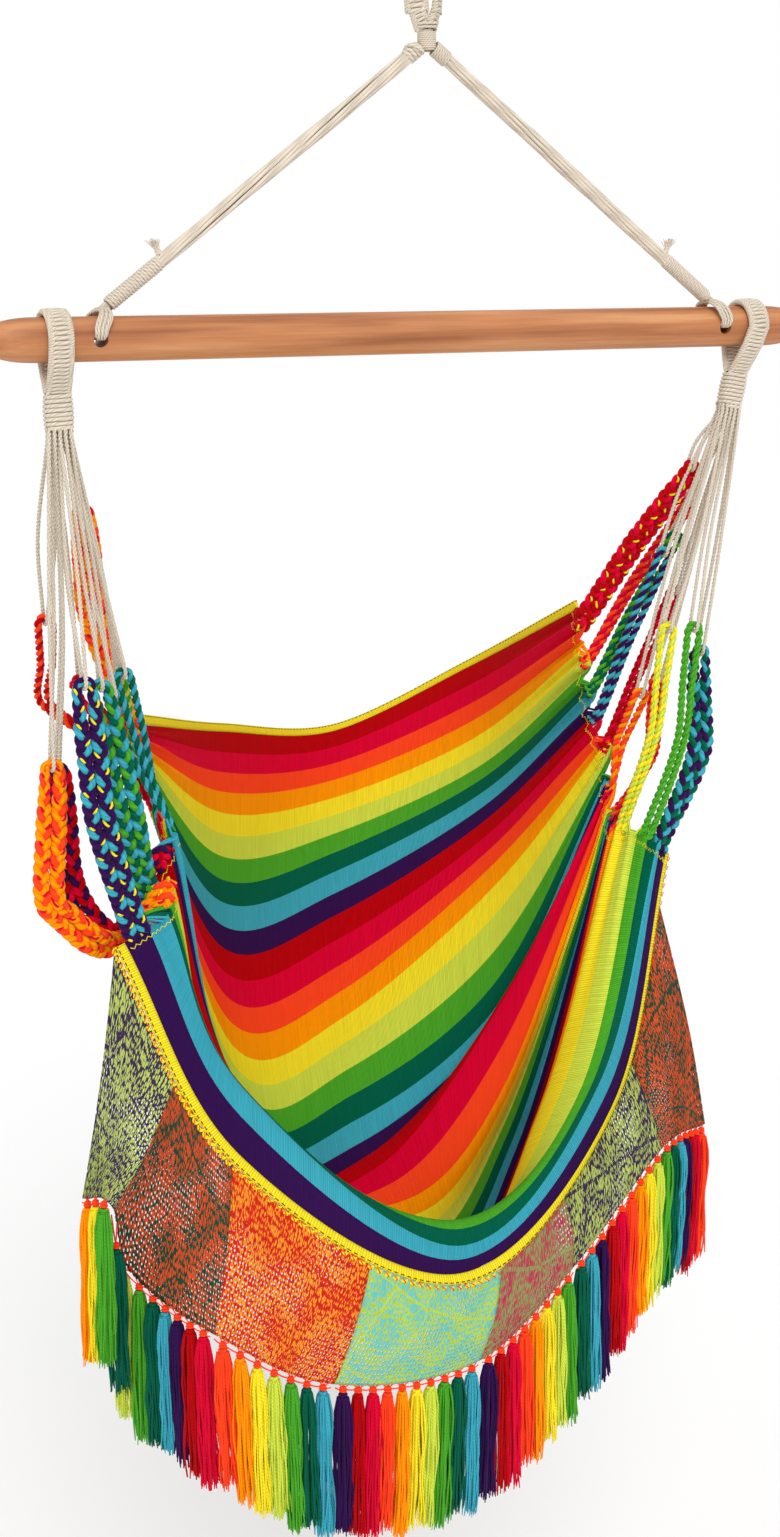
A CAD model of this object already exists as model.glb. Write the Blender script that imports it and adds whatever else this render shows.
"""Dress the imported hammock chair: rope, hardwood bar, striped seat, lace front and fringe."""

import logging  # noqa: E402
import math  # noqa: E402
import random  # noqa: E402
from bisect import bisect_right  # noqa: E402
from collections.abc import Callable, Sequence  # noqa: E402
from dataclasses import dataclass, field  # noqa: E402
from enum import Enum  # noqa: E402

import bmesh  # noqa: E402
import bpy  # noqa: E402
from mathutils import Matrix, Vector  # noqa: E402

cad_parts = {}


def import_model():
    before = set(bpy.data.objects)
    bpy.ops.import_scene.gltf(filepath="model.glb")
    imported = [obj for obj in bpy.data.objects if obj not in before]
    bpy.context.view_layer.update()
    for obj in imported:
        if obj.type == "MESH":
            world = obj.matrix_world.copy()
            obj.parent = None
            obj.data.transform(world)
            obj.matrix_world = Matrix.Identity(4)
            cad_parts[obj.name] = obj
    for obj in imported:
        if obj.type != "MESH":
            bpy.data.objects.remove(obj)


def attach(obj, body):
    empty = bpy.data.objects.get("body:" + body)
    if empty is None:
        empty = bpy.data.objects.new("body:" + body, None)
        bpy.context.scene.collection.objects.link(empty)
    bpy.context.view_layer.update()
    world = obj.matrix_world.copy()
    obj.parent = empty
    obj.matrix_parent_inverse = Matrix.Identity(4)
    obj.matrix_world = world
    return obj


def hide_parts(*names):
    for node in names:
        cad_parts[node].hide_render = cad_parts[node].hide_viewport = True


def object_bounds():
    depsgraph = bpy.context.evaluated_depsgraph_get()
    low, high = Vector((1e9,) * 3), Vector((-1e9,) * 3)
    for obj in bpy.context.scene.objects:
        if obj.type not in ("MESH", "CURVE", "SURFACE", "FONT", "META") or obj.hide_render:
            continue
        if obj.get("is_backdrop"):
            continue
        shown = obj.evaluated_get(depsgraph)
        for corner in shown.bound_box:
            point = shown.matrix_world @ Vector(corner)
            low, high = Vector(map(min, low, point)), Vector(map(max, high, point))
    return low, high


LOG = logging.getLogger("hammock_chair")

MM = 0.001
TURN = 2 * math.pi
X_AXIS = Vector((1, 0, 0))
Y_AXIS = Vector((0, 1, 0))
Z_AXIS = Vector((0, 0, 1))

Colour = Place = tuple[float, float, float]
Offsets = tuple[float, float]
BMesh = bmesh.types.BMesh
Material = bpy.types.Material
Object = bpy.types.Object
Node = bpy.types.Node
Socket = bpy.types.NodeSocket
Inputs = bpy.types.NodeInputs
Outputs = bpy.types.NodeOutputs

# ------------------------------------------------------------------------------
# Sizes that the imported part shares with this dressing, in millimetres.
# ------------------------------------------------------------------------------

CLEARANCE = 0.3
EYE_BOW_RADIUS = 27.0
EYE_WIDTH = 20.0
EYE_THICKNESS = 8.0
EYE_FOOT_OFFSET = 10.4
EYE_HEIGHT = 122.0
EYE_LEFT_TURN = math.radians(156)
EYE_RIGHT_TURN = math.radians(51)
THROAT_LENGTH = 20.0
NECK_RADIUS = 9.2
NECK_LENGTH = 20.0
BUNDLE_RADIUS = 7.0
COLLAR_RADIUS = 7.4
COLLAR_LENGTH = 18.0
WHIPPING_RADIUS = 7.4
WHIPPING_LENGTH = 66.0
TUFT_RADIUS = 3.0
TUFT_LENGTH = 15.0
STRAP_THICKNESS = 5.5
STRAP_SEAT = 2.0
BAR_DROP = 430.0
BAR_LENGTH = 880.0
BAR_RADIUS = 21.0
BAR_TIP_RADIUS = 14.0
BAR_TAPER = 40.0
HOLE_OFFSET = 343.0
HOLE_RADIUS = 7.0
STRAP_RISE = 31.0
SLING_OFFSET = 382.0
SLING_WIDTH = 27.0
SLING_THICKNESS = 7.0
SLING_PLAY = 1.1
SLING_DROP = 50.0
NECK_DROP = 85.0
NECK_DEPTH = 19.0
LEFT_LEAN = 1.0
RIGHT_LEAN = -18.0
CORD_RADIUS = 2.1
BRAID_RADIUS = 4.4
PLAIT_HALF_WIDTH = 7.4
LINK_RADIUS = CORD_RADIUS + BRAID_RADIUS + 1.0
SEAT_HALF_WIDTH = 400.0
SEAT_REACH = 500.0
SEAT_DROP = 1000.0
STRIPES = 40
SELVAGE_WIDTH = 11.0
LACE_BULGE = 9.0
NET_RADIUS = 2.6
NET_GAP = 1.35
NET_TRIMS = 4
SEAM_GAP = 0.8
TASSEL_LENGTH = 172.0
TASSEL_RADIUS = 6.6
TASSEL_PITCH = 15.0
CLOTH_COLUMNS = 20
FLAT_WARP = 1050.0
FLAT_WEFT = 1000.0
THROAT_TOP = -EYE_HEIGHT
NECK_TOP = THROAT_TOP - THROAT_LENGTH
NECK_FOOT = NECK_TOP - NECK_LENGTH
EYE_LEGS = ((-1, EYE_LEFT_TURN), (1, EYE_RIGHT_TURN))
LACE_GAP = 1.3
HEM_STEP = 0.04

# The cloth's guide points, one row for each guide stripe, at five places across the chair.
GUIDE_STRIPES = (0, 5, 10, 14, 17, 19, 21, 23, 26, 30, 32, 34, 36, 38, 40)
SECTION_PLACES = (0, 0.25, 0.5, 0.75, 1)
LEFT_END_SHARES = (
    (-0.71, 0.2, 0.4), (-0.695, 0.215, 0.438), (-0.68, 0.21, 0.476), (-0.68, 0.185, 0.492),
    (-0.683, 0.15, 0.497), (-0.688, 0.12, 0.496), (-0.692, 0.09, 0.492), (-0.697, 0.058, 0.487),
    (-0.702, 0.022, 0.485), (-0.715, -0.006, 0.51), (-0.82, 0.002, 0.585), (-0.735, -0.036, 0.532),
    (-0.738, -0.062, 0.55), (-0.757, -0.086, 0.563), (-0.88, -0.12, 0.58),
)
LEFT_SHARES = (
    (-0.24, 0.74, 0.486), (-0.32, 0.57, 0.588), (-0.4, 0.385, 0.698), (-0.445, 0.23, 0.785),
    (-0.452, 0.15, 0.85), (-0.462, 0.12, 0.884), (-0.473, 0.094, 0.9), (-0.486, 0.066, 0.893),
    (-0.51, 0.028, 0.832), (-0.566, -0.055, 0.766), (-0.6, -0.105, 0.79), (-0.606, -0.155, 0.803),
    (-0.622, -0.2, 0.764), (-0.638, -0.245, 0.727), (-0.675, -0.31, 0.782),
)
MIDDLE_SHARES = (
    (0.26, 1, 0.533), (0.145, 0.79, 0.615), (0.035, 0.55, 0.704),
    (-0.063, 0.325, 0.79), (-0.115, 0.17, 0.852), (-0.14, 0.088, 0.893),
    (-0.122, 0.016, 0.908), (-0.107, -0.048, 0.94), (-0.085, -0.096, 0.978),
    (-0.07, -0.14, 1.03), (-0.066, -0.178, 1.022), (-0.064, -0.218, 0.982),
    (-0.064, -0.26, 0.917), (-0.08, -0.316, 0.93), (-0.098, -0.356, 0.95),
)
RIGHT_SHARES = (
    (0.625, 0.8, 0.441), (0.555, 0.64, 0.534), (0.475, 0.47, 0.597), (0.4, 0.305, 0.656),
    (0.33, 0.165, 0.742), (0.318, 0.108, 0.772), (0.27, 0.036, 0.742), (0.21, -0.052, 0.83),
    (0.245, -0.012, 0.88), (0.3, -0.02, 0.915), (0.29, -0.09, 0.885), (0.27, -0.156, 0.832),
    (0.32, -0.244, 0.804), (0.39, -0.232, 0.8), (0.47, -0.184, 0.838),
)
RIGHT_END_SHARES = (
    (0.598, 0.2, 0.316), (0.608, 0.186, 0.376), (0.622, 0.162, 0.438), (0.637, 0.13, 0.476),
    (0.634, 0.106, 0.497), (0.628, 0.09, 0.509), (0.617, 0.074, 0.519), (0.612, 0.057, 0.528),
    (0.604, 0.036, 0.536), (0.594, 0.012, 0.543), (0.584, -0.004, 0.546), (0.58, -0.024, 0.546),
    (0.612, -0.07, 0.543), (0.655, -0.09, 0.556), (0.72, -0.05, 0.575),
)
# The lace's hem and its seams, by the cloth's columns.
HEM_COLUMNS = (0, 3, 3.5, 5, 8, 11, 13, 16, 19)
HEM_SHARES = (
    (-1.038, -0.2, 0.824), (-0.988, -0.28, 0.822), (-0.935, -0.208, 0.907), (-0.782, -0.38, 0.95),
    (-0.485, -0.42, 1.023), (-0.07, -0.41, 1.039), (0.251, -0.34, 0.978), (0.597, -0.235, 0.889),
    (0.84, -0.11, 0.902),
)
SEAM_COLUMNS = (0, 3, 5, 8, 11, 13, 16, 19)
# Each lace: its floats' and its ground's screen colours, the ground's share and the floats' slant.
LACES = {
    "olive": ((186, 202, 100), (66, 50, 82), 0.5, 0.15),
    "rust": ((226, 84, 40), (46, 76, 56), 0.5, -0.2),
    "flame": ((244, 152, 44), (214, 44, 30), 0.52, 0.15),
    "sea": ((104, 196, 190), (190, 214, 78), 0.46, 0.15),
    "sage": ((186, 52, 84), (146, 158, 96), 0.46, 0.15),
}
# The panels from left to right: each one's lace and the record's slot for it.
LACE_PANELS = (
    ("olive", "lace_olive"), ("rust", "lace_rust_green"), ("flame", "lace_orange_crimson"),
    ("sea", "lace_turquoise_lime"), ("sage", "lace_crimson_sage"), ("olive", "lace_olive"),
    ("rust", "lace_rust_green"),
)


class Dye(Enum):
    """The ten dyed yarns, in the order in which the cloth repeats them from its back edge."""

    RED = (185, 0, 10)
    CRIMSON = (220, 0, 50)
    CORAL = (255, 70, 30)
    ORANGE = (255, 150, 0)
    YELLOW = (245, 225, 40)
    LIME = (205, 220, 70)
    GREEN = (75, 165, 40)
    TEAL = (0, 95, 70)
    TURQUOISE = (60, 165, 185)
    PURPLE = (50, 15, 75)

    @property
    def linear(self) -> Colour:
        """The dye's colour as linear values."""
        return linear(self.value)


class Side(Enum):
    """The chair's two ends along the bar."""

    LEFT = -1
    RIGHT = 1

    @property
    def label(self) -> str:
        """The word that the part's nodes use for this end."""
        return self.name.lower()


def linear(screen: Sequence[float]) -> Colour:
    """Turn a screen colour into a linear one.

    Args:
        screen: Red, green and blue from 0 to 255.

    Returns:
        The three linear values.
    """
    shares = [value / 255 for value in screen]
    return tuple(s / 12.92 if s <= 0.04045 else ((s + 0.055) / 1.055) ** 2.4 for s in shares)


# ------------------------------------------------------------------------------
# Lines and surfaces.
# ------------------------------------------------------------------------------


def clamp(value: float, low: float = 0.0, high: float = 1.0) -> float:
    """Hold a value between two bounds."""
    return min(max(value, low), high)


def in_steps(count: int) -> list[float]:
    """The shares from 0 to 1 in equal steps, both ends among them."""
    return [i / count for i in range(count + 1)]


def half_turn(count: int) -> list[float]:
    """The angles from 0 to half a turn in equal steps, both ends among them."""
    return [math.pi * i / count for i in range(count + 1)]


def whole_turn(count: int) -> list[float]:
    """The angles once round, in equal steps."""
    return [TURN * i / count for i in range(count)]


def circle(radius: float, sides: int) -> list[Offsets]:
    """The outline of a round section."""
    return [(radius * math.cos(a), radius * math.sin(a)) for a in whole_turn(sides)]


def round_outline(share: float) -> Offsets:
    """A point of a circle of radius 1, from its share of a turn."""
    return math.cos(TURN * share), math.sin(TURN * share)


def squared_off(angle: float, reach: Offsets, powers: Offsets) -> Offsets:
    """A point of an oval that is squared off towards a flat band's outline.

    Args:
        angle: The way round it.
        reach: Half its width and half its thickness.
        powers: How square it is across and through, from 1 for round to 0 for square.

    Returns:
        The point's offsets.
    """
    x, y = math.cos(angle), math.sin(angle)
    return (
        reach[0] * math.copysign(abs(x) ** powers[0], x),
        reach[1] * math.copysign(abs(y) ** powers[1], y),
    )


def hoop(
    centre: Vector, radius: float, count: int, level: float, warp: float = 0.0,
) -> list[Vector]:
    """A ring of points that lies level.

    Args:
        centre: The point that it goes round.
        radius: Its radius.
        count: How many points it has.
        level: Its height above the centre.
        warp: How far it rises and dips, twice each time round.

    Returns:
        The points.
    """
    return [
        centre
        + Vector((radius * math.cos(a), radius * math.sin(a), level + warp * math.sin(2 * a)))
        for a in whole_turn(count)
    ]


def runs_along(points: Sequence[Vector], least: float = 0.0) -> list[float]:
    """The run along a chain at each of its points.

    Args:
        points: The chain.
        least: The least length that a step counts for.

    Returns:
        The runs, from 0.
    """
    runs = [0.0]
    for before, after in zip(points, points[1:]):
        runs.append(runs[-1] + max((after - before).length, least))
    return runs


def length_of(points: Sequence[Vector]) -> float:
    """The length of a chain of points."""
    return runs_along(points)[-1]


def smooth_at(places: Sequence[float], values: Sequence[Vector], place: float) -> Vector:
    """Read a cubic curve through values at unevenly spaced places, as the part's source does.

    Args:
        places: Where each value holds, in rising order.
        values: The points that the curve passes through.
        place: Where to read it.

    Returns:
        The point of the curve.
    """
    last = len(places) - 1
    i = 0
    while i < last - 1 and place > places[i + 1]:
        i += 1

    def slope(j: int) -> Vector:
        """The curve's slope at value j."""
        low, high = max(j - 1, 0), min(j + 1, last)
        return (values[high] - values[low]) / (places[high] - places[low])

    span = places[i + 1] - places[i]
    t = (place - places[i]) / span
    rise = t * t * (3 - 2 * t)
    point = values[i] * (1 - rise) + values[i + 1] * rise
    return point + slope(i) * (span * t * (1 - t) ** 2) - slope(i + 1) * (span * t * t * (1 - t))


def seat_place(shares: Sequence[float]) -> Vector:
    """The place of a triple of shares in the seat's box, in millimetres."""
    x, y, drop = shares
    return Vector((x * SEAT_HALF_WIDTH, y * SEAT_REACH, -BAR_DROP - drop * SEAT_DROP))


def smooth_route(points: Sequence[Vector], step: float) -> list[Vector]:
    """Lay a smooth line through guide points and cut it into equal steps.

    Args:
        points: The guide points.
        step: The length of a step, in millimetres.

    Returns:
        Evenly spaced points, the two ends among them.
    """
    places = runs_along(points, 1e-4)
    fine = max(int(places[-1] / min(step, 2.0)), 8)
    dense = [smooth_at(places, points, places[-1] * i / fine) for i in range(fine + 1)]
    return even_route(dense, step)


def even_route(points: Sequence[Vector], step: float) -> list[Vector]:
    """Cut a chain of points into equal steps.

    Args:
        points: The chain.
        step: The length of a step, in millimetres.

    Returns:
        Evenly spaced points along it.
    """
    runs = runs_along(points)
    count = max(round(runs[-1] / step), 3)
    made, i = [], 0
    for j in range(count + 1):
        goal = runs[-1] * j / count
        while i < len(runs) - 2 and runs[i + 1] < goal:
            i += 1
        span = max(runs[i + 1] - runs[i], 1e-9)
        made.append(points[i].lerp(points[i + 1], clamp((goal - runs[i]) / span)))
    return made


@dataclass
class Frames:
    """A route with the two directions across it at every point.

    Attributes:
        route: The points.
        across: What the first cross direction stays close to, for all points or for each.
        wide: The first cross direction at every point.
        thick: The second, square to the first and to the route.
    """

    route: list[Vector]
    across: Vector | Sequence[Vector]
    wide: list[Vector] = field(init=False)
    thick: list[Vector] = field(init=False)

    def __post_init__(self) -> None:
        """Work out the directions."""
        last = len(self.route) - 1
        self.wide, self.thick = [], []
        for i in range(last + 1):
            along = (self.route[min(i + 1, last)] - self.route[max(i - 1, 0)]).normalized()
            guide = self.across if isinstance(self.across, Vector) else self.across[i]
            wide = (guide - along * guide.dot(along)).normalized()
            self.wide.append(wide)
            self.thick.append(along.cross(wide))

    def place(self, i: int, wide: float, thick: float) -> Vector:
        """The point beside route point i, by its offsets across the route."""
        return self.route[i] + self.wide[i] * wide + self.thick[i] * thick

    def wound(self, offsets: Callable[[float], Offsets]) -> list[Vector]:
        """A line that runs beside the route.

        Args:
            offsets: Gives the two offsets from the run along the route.

        Returns:
            The line's points.
        """
        return [self.place(i, *offsets(run)) for i, run in enumerate(runs_along(self.route))]


@dataclass(frozen=True)
class SeatSurface:
    """The cloth's, the lace's and the hem's surfaces, worked out as in the part's source.

    Attributes:
        sections: The cloth's guide points at each of the places across the chair.
        hem: The guide points of the lace's hem.
    """

    sections: tuple[tuple[Vector, ...], ...] = tuple(
        tuple(seat_place(row) for row in table)
        for table in (
            LEFT_END_SHARES, LEFT_SHARES, MIDDLE_SHARES, RIGHT_SHARES, RIGHT_END_SHARES,
        )
    )
    hem: tuple[Vector, ...] = tuple(seat_place(row) for row in HEM_SHARES)

    def row(self, stripe: float) -> list[Vector]:
        """The five section points at one stripe."""
        return [smooth_at(GUIDE_STRIPES, section, stripe) for section in self.sections]

    def point(self, across: float, stripe: float) -> Vector:
        """The cloth's point from its share across and its stripe."""
        return smooth_at(SECTION_PLACES, self.row(stripe), across)

    def tangents(self, across: float, stripe: float) -> tuple[Vector, Vector, Vector]:
        """The cloth's directions at a point.

        Args:
            across: Share across the chair.
            stripe: Stripe from the back edge.

        Returns:
            The direction across, the direction to the front, and the normal.
        """
        step = 0.002
        right, left = min(across + step, 1), max(across - step, 0)
        along = self.point(right, stripe) - self.point(left, stripe)
        high, low = min(stripe + step * STRIPES, STRIPES), max(stripe - step * STRIPES, 0)
        forward = self.point(across, high) - self.point(across, low)
        along.normalize()
        forward.normalize()
        return along, forward, along.cross(forward).normalized()

    def outwards(self, across: float, stripe: float) -> Vector:
        """The way out of the cloth's left or right end, in the cloth's own plane."""
        _, forward, normal = self.tangents(across, stripe)
        return forward.cross(normal) * (1 if across else -1)

    def beside_edge(self, across: float, stripe: float, distance: float) -> Vector:
        """A point beyond the cloth's back or front edge, in the cloth's own plane."""
        along, _, normal = self.tangents(across, stripe)
        outwards = normal.cross(along) * (distance if stripe > 0 else -distance)
        return self.point(across, stripe) + outwards

    def hem_point(self, column: float) -> Vector:
        """The point of the lace's lower hem under a column of the cloth."""
        return smooth_at(HEM_COLUMNS, self.hem, column)

    def lace_point(self, column: float, share: float) -> Vector:
        """A point of the lace, from 0 at the front selvage to 1 at the hem."""
        low = min(int(column), CLOTH_COLUMNS - 1)
        left, right = (
            self.beside_edge(place / CLOTH_COLUMNS, STRIPES, SELVAGE_WIDTH + LACE_GAP)
            for place in (low, low + 1)
        )
        point = left.lerp(right, column - low).lerp(self.hem_point(column), share)
        point.y -= LACE_BULGE * math.sin(math.pi * share)
        return point

    def net_point(self, column: float) -> Vector:
        """The centre of the net edge, just beyond the hem."""
        along = self.hem_point(column + HEM_STEP) - self.hem_point(column - HEM_STEP)
        along.normalize()
        down = self.hem_point(column) - self.lace_point(column, 2 / 3)
        outwards = (down - along * down.dot(along)).normalized()
        return self.hem_point(column) + outwards * (NET_RADIUS + NET_GAP)

    def seam_trim(self, column: float) -> float:
        """The columns by which lace is drawn in at a seam for its clearance at the hem."""
        low, high = max(column - HEM_STEP, 0), min(column + HEM_STEP, SEAM_COLUMNS[-1])
        apart = (self.hem_point(low) - self.hem_point(high)).length
        return (high - low) * 2 * CLEARANCE / apart

    def tassel_columns(self, low: float, high: float) -> list[float]:
        """Space a stretch of tassels evenly along the hem as it is seen from above.

        Args:
            low: The stretch's first column.
            high: Its last column.

        Returns:
            The tassels' columns.
        """
        parts = 120
        columns = [low + (high - low) * i / parts for i in range(parts + 1)]
        runs = runs_along([self.hem_point(column).xy for column in columns])
        count = max(int(runs[-1] / TASSEL_PITCH), 1)
        made = []
        for j in range(count):
            goal = runs[-1] * (j + 0.5) / count
            after = next(i for i, run in enumerate(runs) if run >= goal)
            share = (goal - runs[after - 1]) / (runs[after] - runs[after - 1])
            made.append(columns[after - 1] + (columns[after] - columns[after - 1]) * share)
        return made


SURFACE = SeatSurface()


# ------------------------------------------------------------------------------
# Materials.
# ------------------------------------------------------------------------------


class Shader:
    """Adds nodes to one node tree and wires them."""

    def __init__(self, tree: bpy.types.NodeTree) -> None:
        """Start on a tree.

        Args:
            tree: The tree that the nodes go into.
        """
        self.tree = tree

    def node(self, kind: str, **settings: object) -> Node:
        """Add a node.

        Args:
            kind: The node's type name, without its ShaderNode prefix.
            **settings: Its properties.

        Returns:
            The node.
        """
        made = self.tree.nodes.new(kind if kind.startswith("NodeGroup") else f"ShaderNode{kind}")
        for name, value in settings.items():
            setattr(made, name, value)
        return made

    def feed(self, socket: Socket, value: object) -> None:
        """Link an output into a socket, or set the socket's own value."""
        if isinstance(value, bpy.types.NodeSocket):
            self.tree.links.new(value, socket)
        else:
            socket.default_value = value

    def made(self, kind: str, inputs: dict[str, object], **settings: object) -> Node:
        """Add a node and feed its named inputs.

        Args:
            kind: The node's type name, without its prefix.
            inputs: What goes into its inputs, by their names.
            **settings: Its properties.

        Returns:
            The node.
        """
        made = self.node(kind, **settings)
        for name, value in inputs.items():
            self.feed(made.inputs[name], value)
        return made

    def math(self, operation: str, *values: object) -> Socket:
        """A Math node's result."""
        made = self.node("Math", operation=operation)
        for socket, value in zip(made.inputs, values):
            self.feed(socket, value)
        return made.outputs[0]

    def wave(self, phase: object) -> Socket:
        """How far a phase's sine is from zero."""
        return self.math("ABSOLUTE", self.math("SINE", phase))

    def blend(self, factor: object, first: object, second: object, kind: str = "MIX") -> Socket:
        """A colour mix's result."""
        made = self.node("Mix", data_type="RGBA", blend_type=kind)
        for index, value in ((0, factor), (6, first), (7, second)):
            if isinstance(value, tuple) and len(value) == 3:
                value = (*value, 1.0)
            self.feed(made.inputs[index], value)
        return made.outputs[2]

    def grey(self, value: object) -> Socket:
        """A colour with one value in its three channels."""
        made = self.node("CombineColor")
        for socket in made.inputs[:3]:
            self.feed(socket, value)
        return made.outputs[0]

    def ramp(self, factor: object, stops: Sequence[tuple[float, Colour]], kind: str) -> Socket:
        """A colour ramp's result."""
        made = self.node("ValToRGB")
        made.color_ramp.interpolation = kind
        elements = made.color_ramp.elements
        while len(elements) < len(stops):
            elements.new(0.5)
        for element, (place, colour) in zip(elements, stops):
            element.position = place
            element.color = (*colour, 1.0)
        self.feed(made.inputs[0], factor)
        return made.outputs[0]

    def noise(self, vector: object, scale: object, detail: float) -> Socket:
        """A noise texture's value."""
        inputs = {"Vector": vector, "Scale": scale, "Detail": detail}
        return self.made("TexNoise", inputs).outputs[0]

    def cells(self, vector: object, randomness: float) -> Outputs:
        """The outputs of a flat cell texture, its cells of size 1."""
        inputs = {"Vector": vector, "Scale": 1.0, "Randomness": randomness}
        return self.made("TexVoronoi", inputs, feature="F1", voronoi_dimensions="2D").outputs

    def stretched(self, vector: object, scale: Sequence[float]) -> Socket:
        """A vector scaled by a Mapping node."""
        return self.made("Mapping", {"Vector": vector, "Scale": scale}).outputs[0]

    def parts(self, vector: object) -> Outputs:
        """A vector's three outputs."""
        return self.made("SeparateXYZ", {"Vector": vector}).outputs

    def coordinates(self, name: str) -> Socket:
        """One of the texture coordinates."""
        return self.node("TexCoord").outputs[name]

    def group(self, name: str, **inputs: object) -> Outputs:
        """Place a node group.

        Args:
            name: The group's name.
            **inputs: Its inputs, with _ for a space.

        Returns:
            The group's outputs.
        """
        named = {label.replace("_", " "): value for label, value in inputs.items()}
        return self.made("Group", named, node_tree=bpy.data.node_groups[name]).outputs


def new_group(name: str, **inputs: float) -> tuple[Shader, Outputs, Callable]:
    """Start a shader node group with a vector in, and a height and a shade out.

    Args:
        name: The group's name.
        **inputs: The defaults of its other inputs, with _ for a space.

    Returns:
        Its Shader, what its inputs give, and a function that takes the height and the shade.
    """
    tree = bpy.data.node_groups.new(name, "ShaderNodeTree")
    tree.interface.new_socket(name="Vector", in_out="INPUT", socket_type="NodeSocketVector")
    for label, value in inputs.items():
        socket = tree.interface.new_socket(
            name=label.replace("_", " "), in_out="INPUT", socket_type="NodeSocketFloat",
        )
        socket.default_value = value
    for label in ("Height", "Shade"):
        tree.interface.new_socket(name=label, in_out="OUTPUT", socket_type="NodeSocketFloat")
    shader = Shader(tree)
    given = shader.node("NodeGroupInput").outputs
    made = shader.node("NodeGroupOutput").inputs

    def give(height: object, shade: object) -> None:
        """Feed the group's outputs."""
        shader.feed(made["Height"], height)
        shader.feed(made["Shade"], shade)

    return shader, given, give


def build_yarn_twist() -> None:
    """Build the group that lays plies round a strand, from its UV map."""
    shader, given, give = new_group("yarn_twist", Plies=3.0, Pitch=0.01)
    parts = shader.parts(given["Vector"])
    around = shader.math("MULTIPLY", parts[0], given["Plies"])
    along = shader.math("DIVIDE", parts[1], given["Pitch"])
    phase = shader.math("MULTIPLY", shader.math("ADD", around, along), math.pi)
    height = shader.math("POWER", shader.wave(phase), 0.6)
    give(height, shader.math("MULTIPLY_ADD", height, 0.34, 0.76))


def build_woven_ribs() -> None:
    """Build the group that lays ribs, yarns and slubs over a cloth, from a UV map in metres."""
    shader, given, give = new_group("woven_ribs", Rib_Pitch=0.002, Yarn_Pitch=0.001, Depth=0.2)
    vector = given["Vector"]
    parts = shader.parts(vector)
    wander = shader.noise(shader.stretched(vector, (260, 9, 1)), 1.0, 2.0)
    rib_place = shader.math("ADD", shader.math("DIVIDE", parts[0], given["Rib Pitch"]), wander)
    rib = shader.wave(shader.math("MULTIPLY", rib_place, math.pi))
    yarn_place = shader.math("DIVIDE", parts[1], given["Yarn Pitch"])
    yarn = shader.wave(shader.math("MULTIPLY", yarn_place, math.pi))
    height = shader.math("MULTIPLY_ADD", yarn, 0.3, shader.math("POWER", rib, 0.7))
    slub = shader.noise(shader.stretched(vector, (420, 16, 1)), 1.0, 3.0)
    relief = shader.math("MULTIPLY_ADD", height, 0.8, -0.15)
    tone = shader.math("MULTIPLY_ADD", slub, 0.8, relief)
    dip = shader.math("MULTIPLY", shader.math("SUBTRACT", 1.1, tone), given["Depth"])
    give(height, shader.math("SUBTRACT", 1.06, dip))


def build_cotton_fibre() -> None:
    """Build the group that gives loose fibres and uneven dye, from an Object vector."""
    shader, given, give = new_group("cotton_fibre", Scale=900.0)
    fine = shader.noise(given["Vector"], given["Scale"], 3.0)
    broad = shader.noise(given["Vector"], 34.0, 2.0)
    dye = shader.math("MULTIPLY_ADD", broad, 0.2, 0.76)
    give(fine, shader.math("MULTIPLY_ADD", fine, 0.3, dye))


@dataclass(frozen=True)
class Finish:
    """What every finish shares.

    Attributes:
        name: The material's name.
        roughness: The surface's roughness.
        sheen: Weight of the soft edge light that cotton has.
    """

    name: str
    roughness: float = 0.9
    sheen: float = 0.0

    def build(self) -> Material:
        """Build the material.

        Returns:
            The material.
        """
        material = bpy.data.materials.new(self.name)
        material.use_nodes = True
        surface = material.node_tree.nodes["Principled BSDF"].inputs
        surface["Roughness"].default_value = self.roughness
        surface["Specular IOR Level"].default_value = 0.06
        surface["Sheen Weight"].default_value = self.sheen
        self.dress(Shader(material.node_tree), surface)
        return material

    def dress(self, shader: Shader, surface: Inputs) -> None:
        """Wire up what sets the finish apart.

        Args:
            shader: The material's Shader.
            surface: The inputs of its Principled BSDF.
        """
        raise NotImplementedError

    @staticmethod
    def colour_in(shader: Shader, surface: Inputs, colour: object, tone: object) -> None:
        """Feed a colour, times a tone, into the surface's colour.

        Args:
            shader: The material's Shader.
            surface: The inputs of its Principled BSDF.
            colour: The colour.
            tone: The tone.
        """
        tinted = shader.blend(1.0, colour, shader.grey(tone), "MULTIPLY")
        shader.feed(surface["Base Color"], tinted)

    @staticmethod
    def bump(
        shader: Shader, surface: Inputs, height: object, depth: float, strength: float = 1.0,
    ) -> None:
        """Feed a height into the normal.

        Args:
            shader: The material's Shader.
            surface: The inputs of its Principled BSDF.
            height: The height from 0 to 1.
            depth: What 1 stands for, in metres.
            strength: The bump's strength.
        """
        inputs = {"Distance": depth, "Strength": strength, "Height": height}
        shader.feed(surface["Normal"], shader.made("Bump", inputs).outputs[0])


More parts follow.
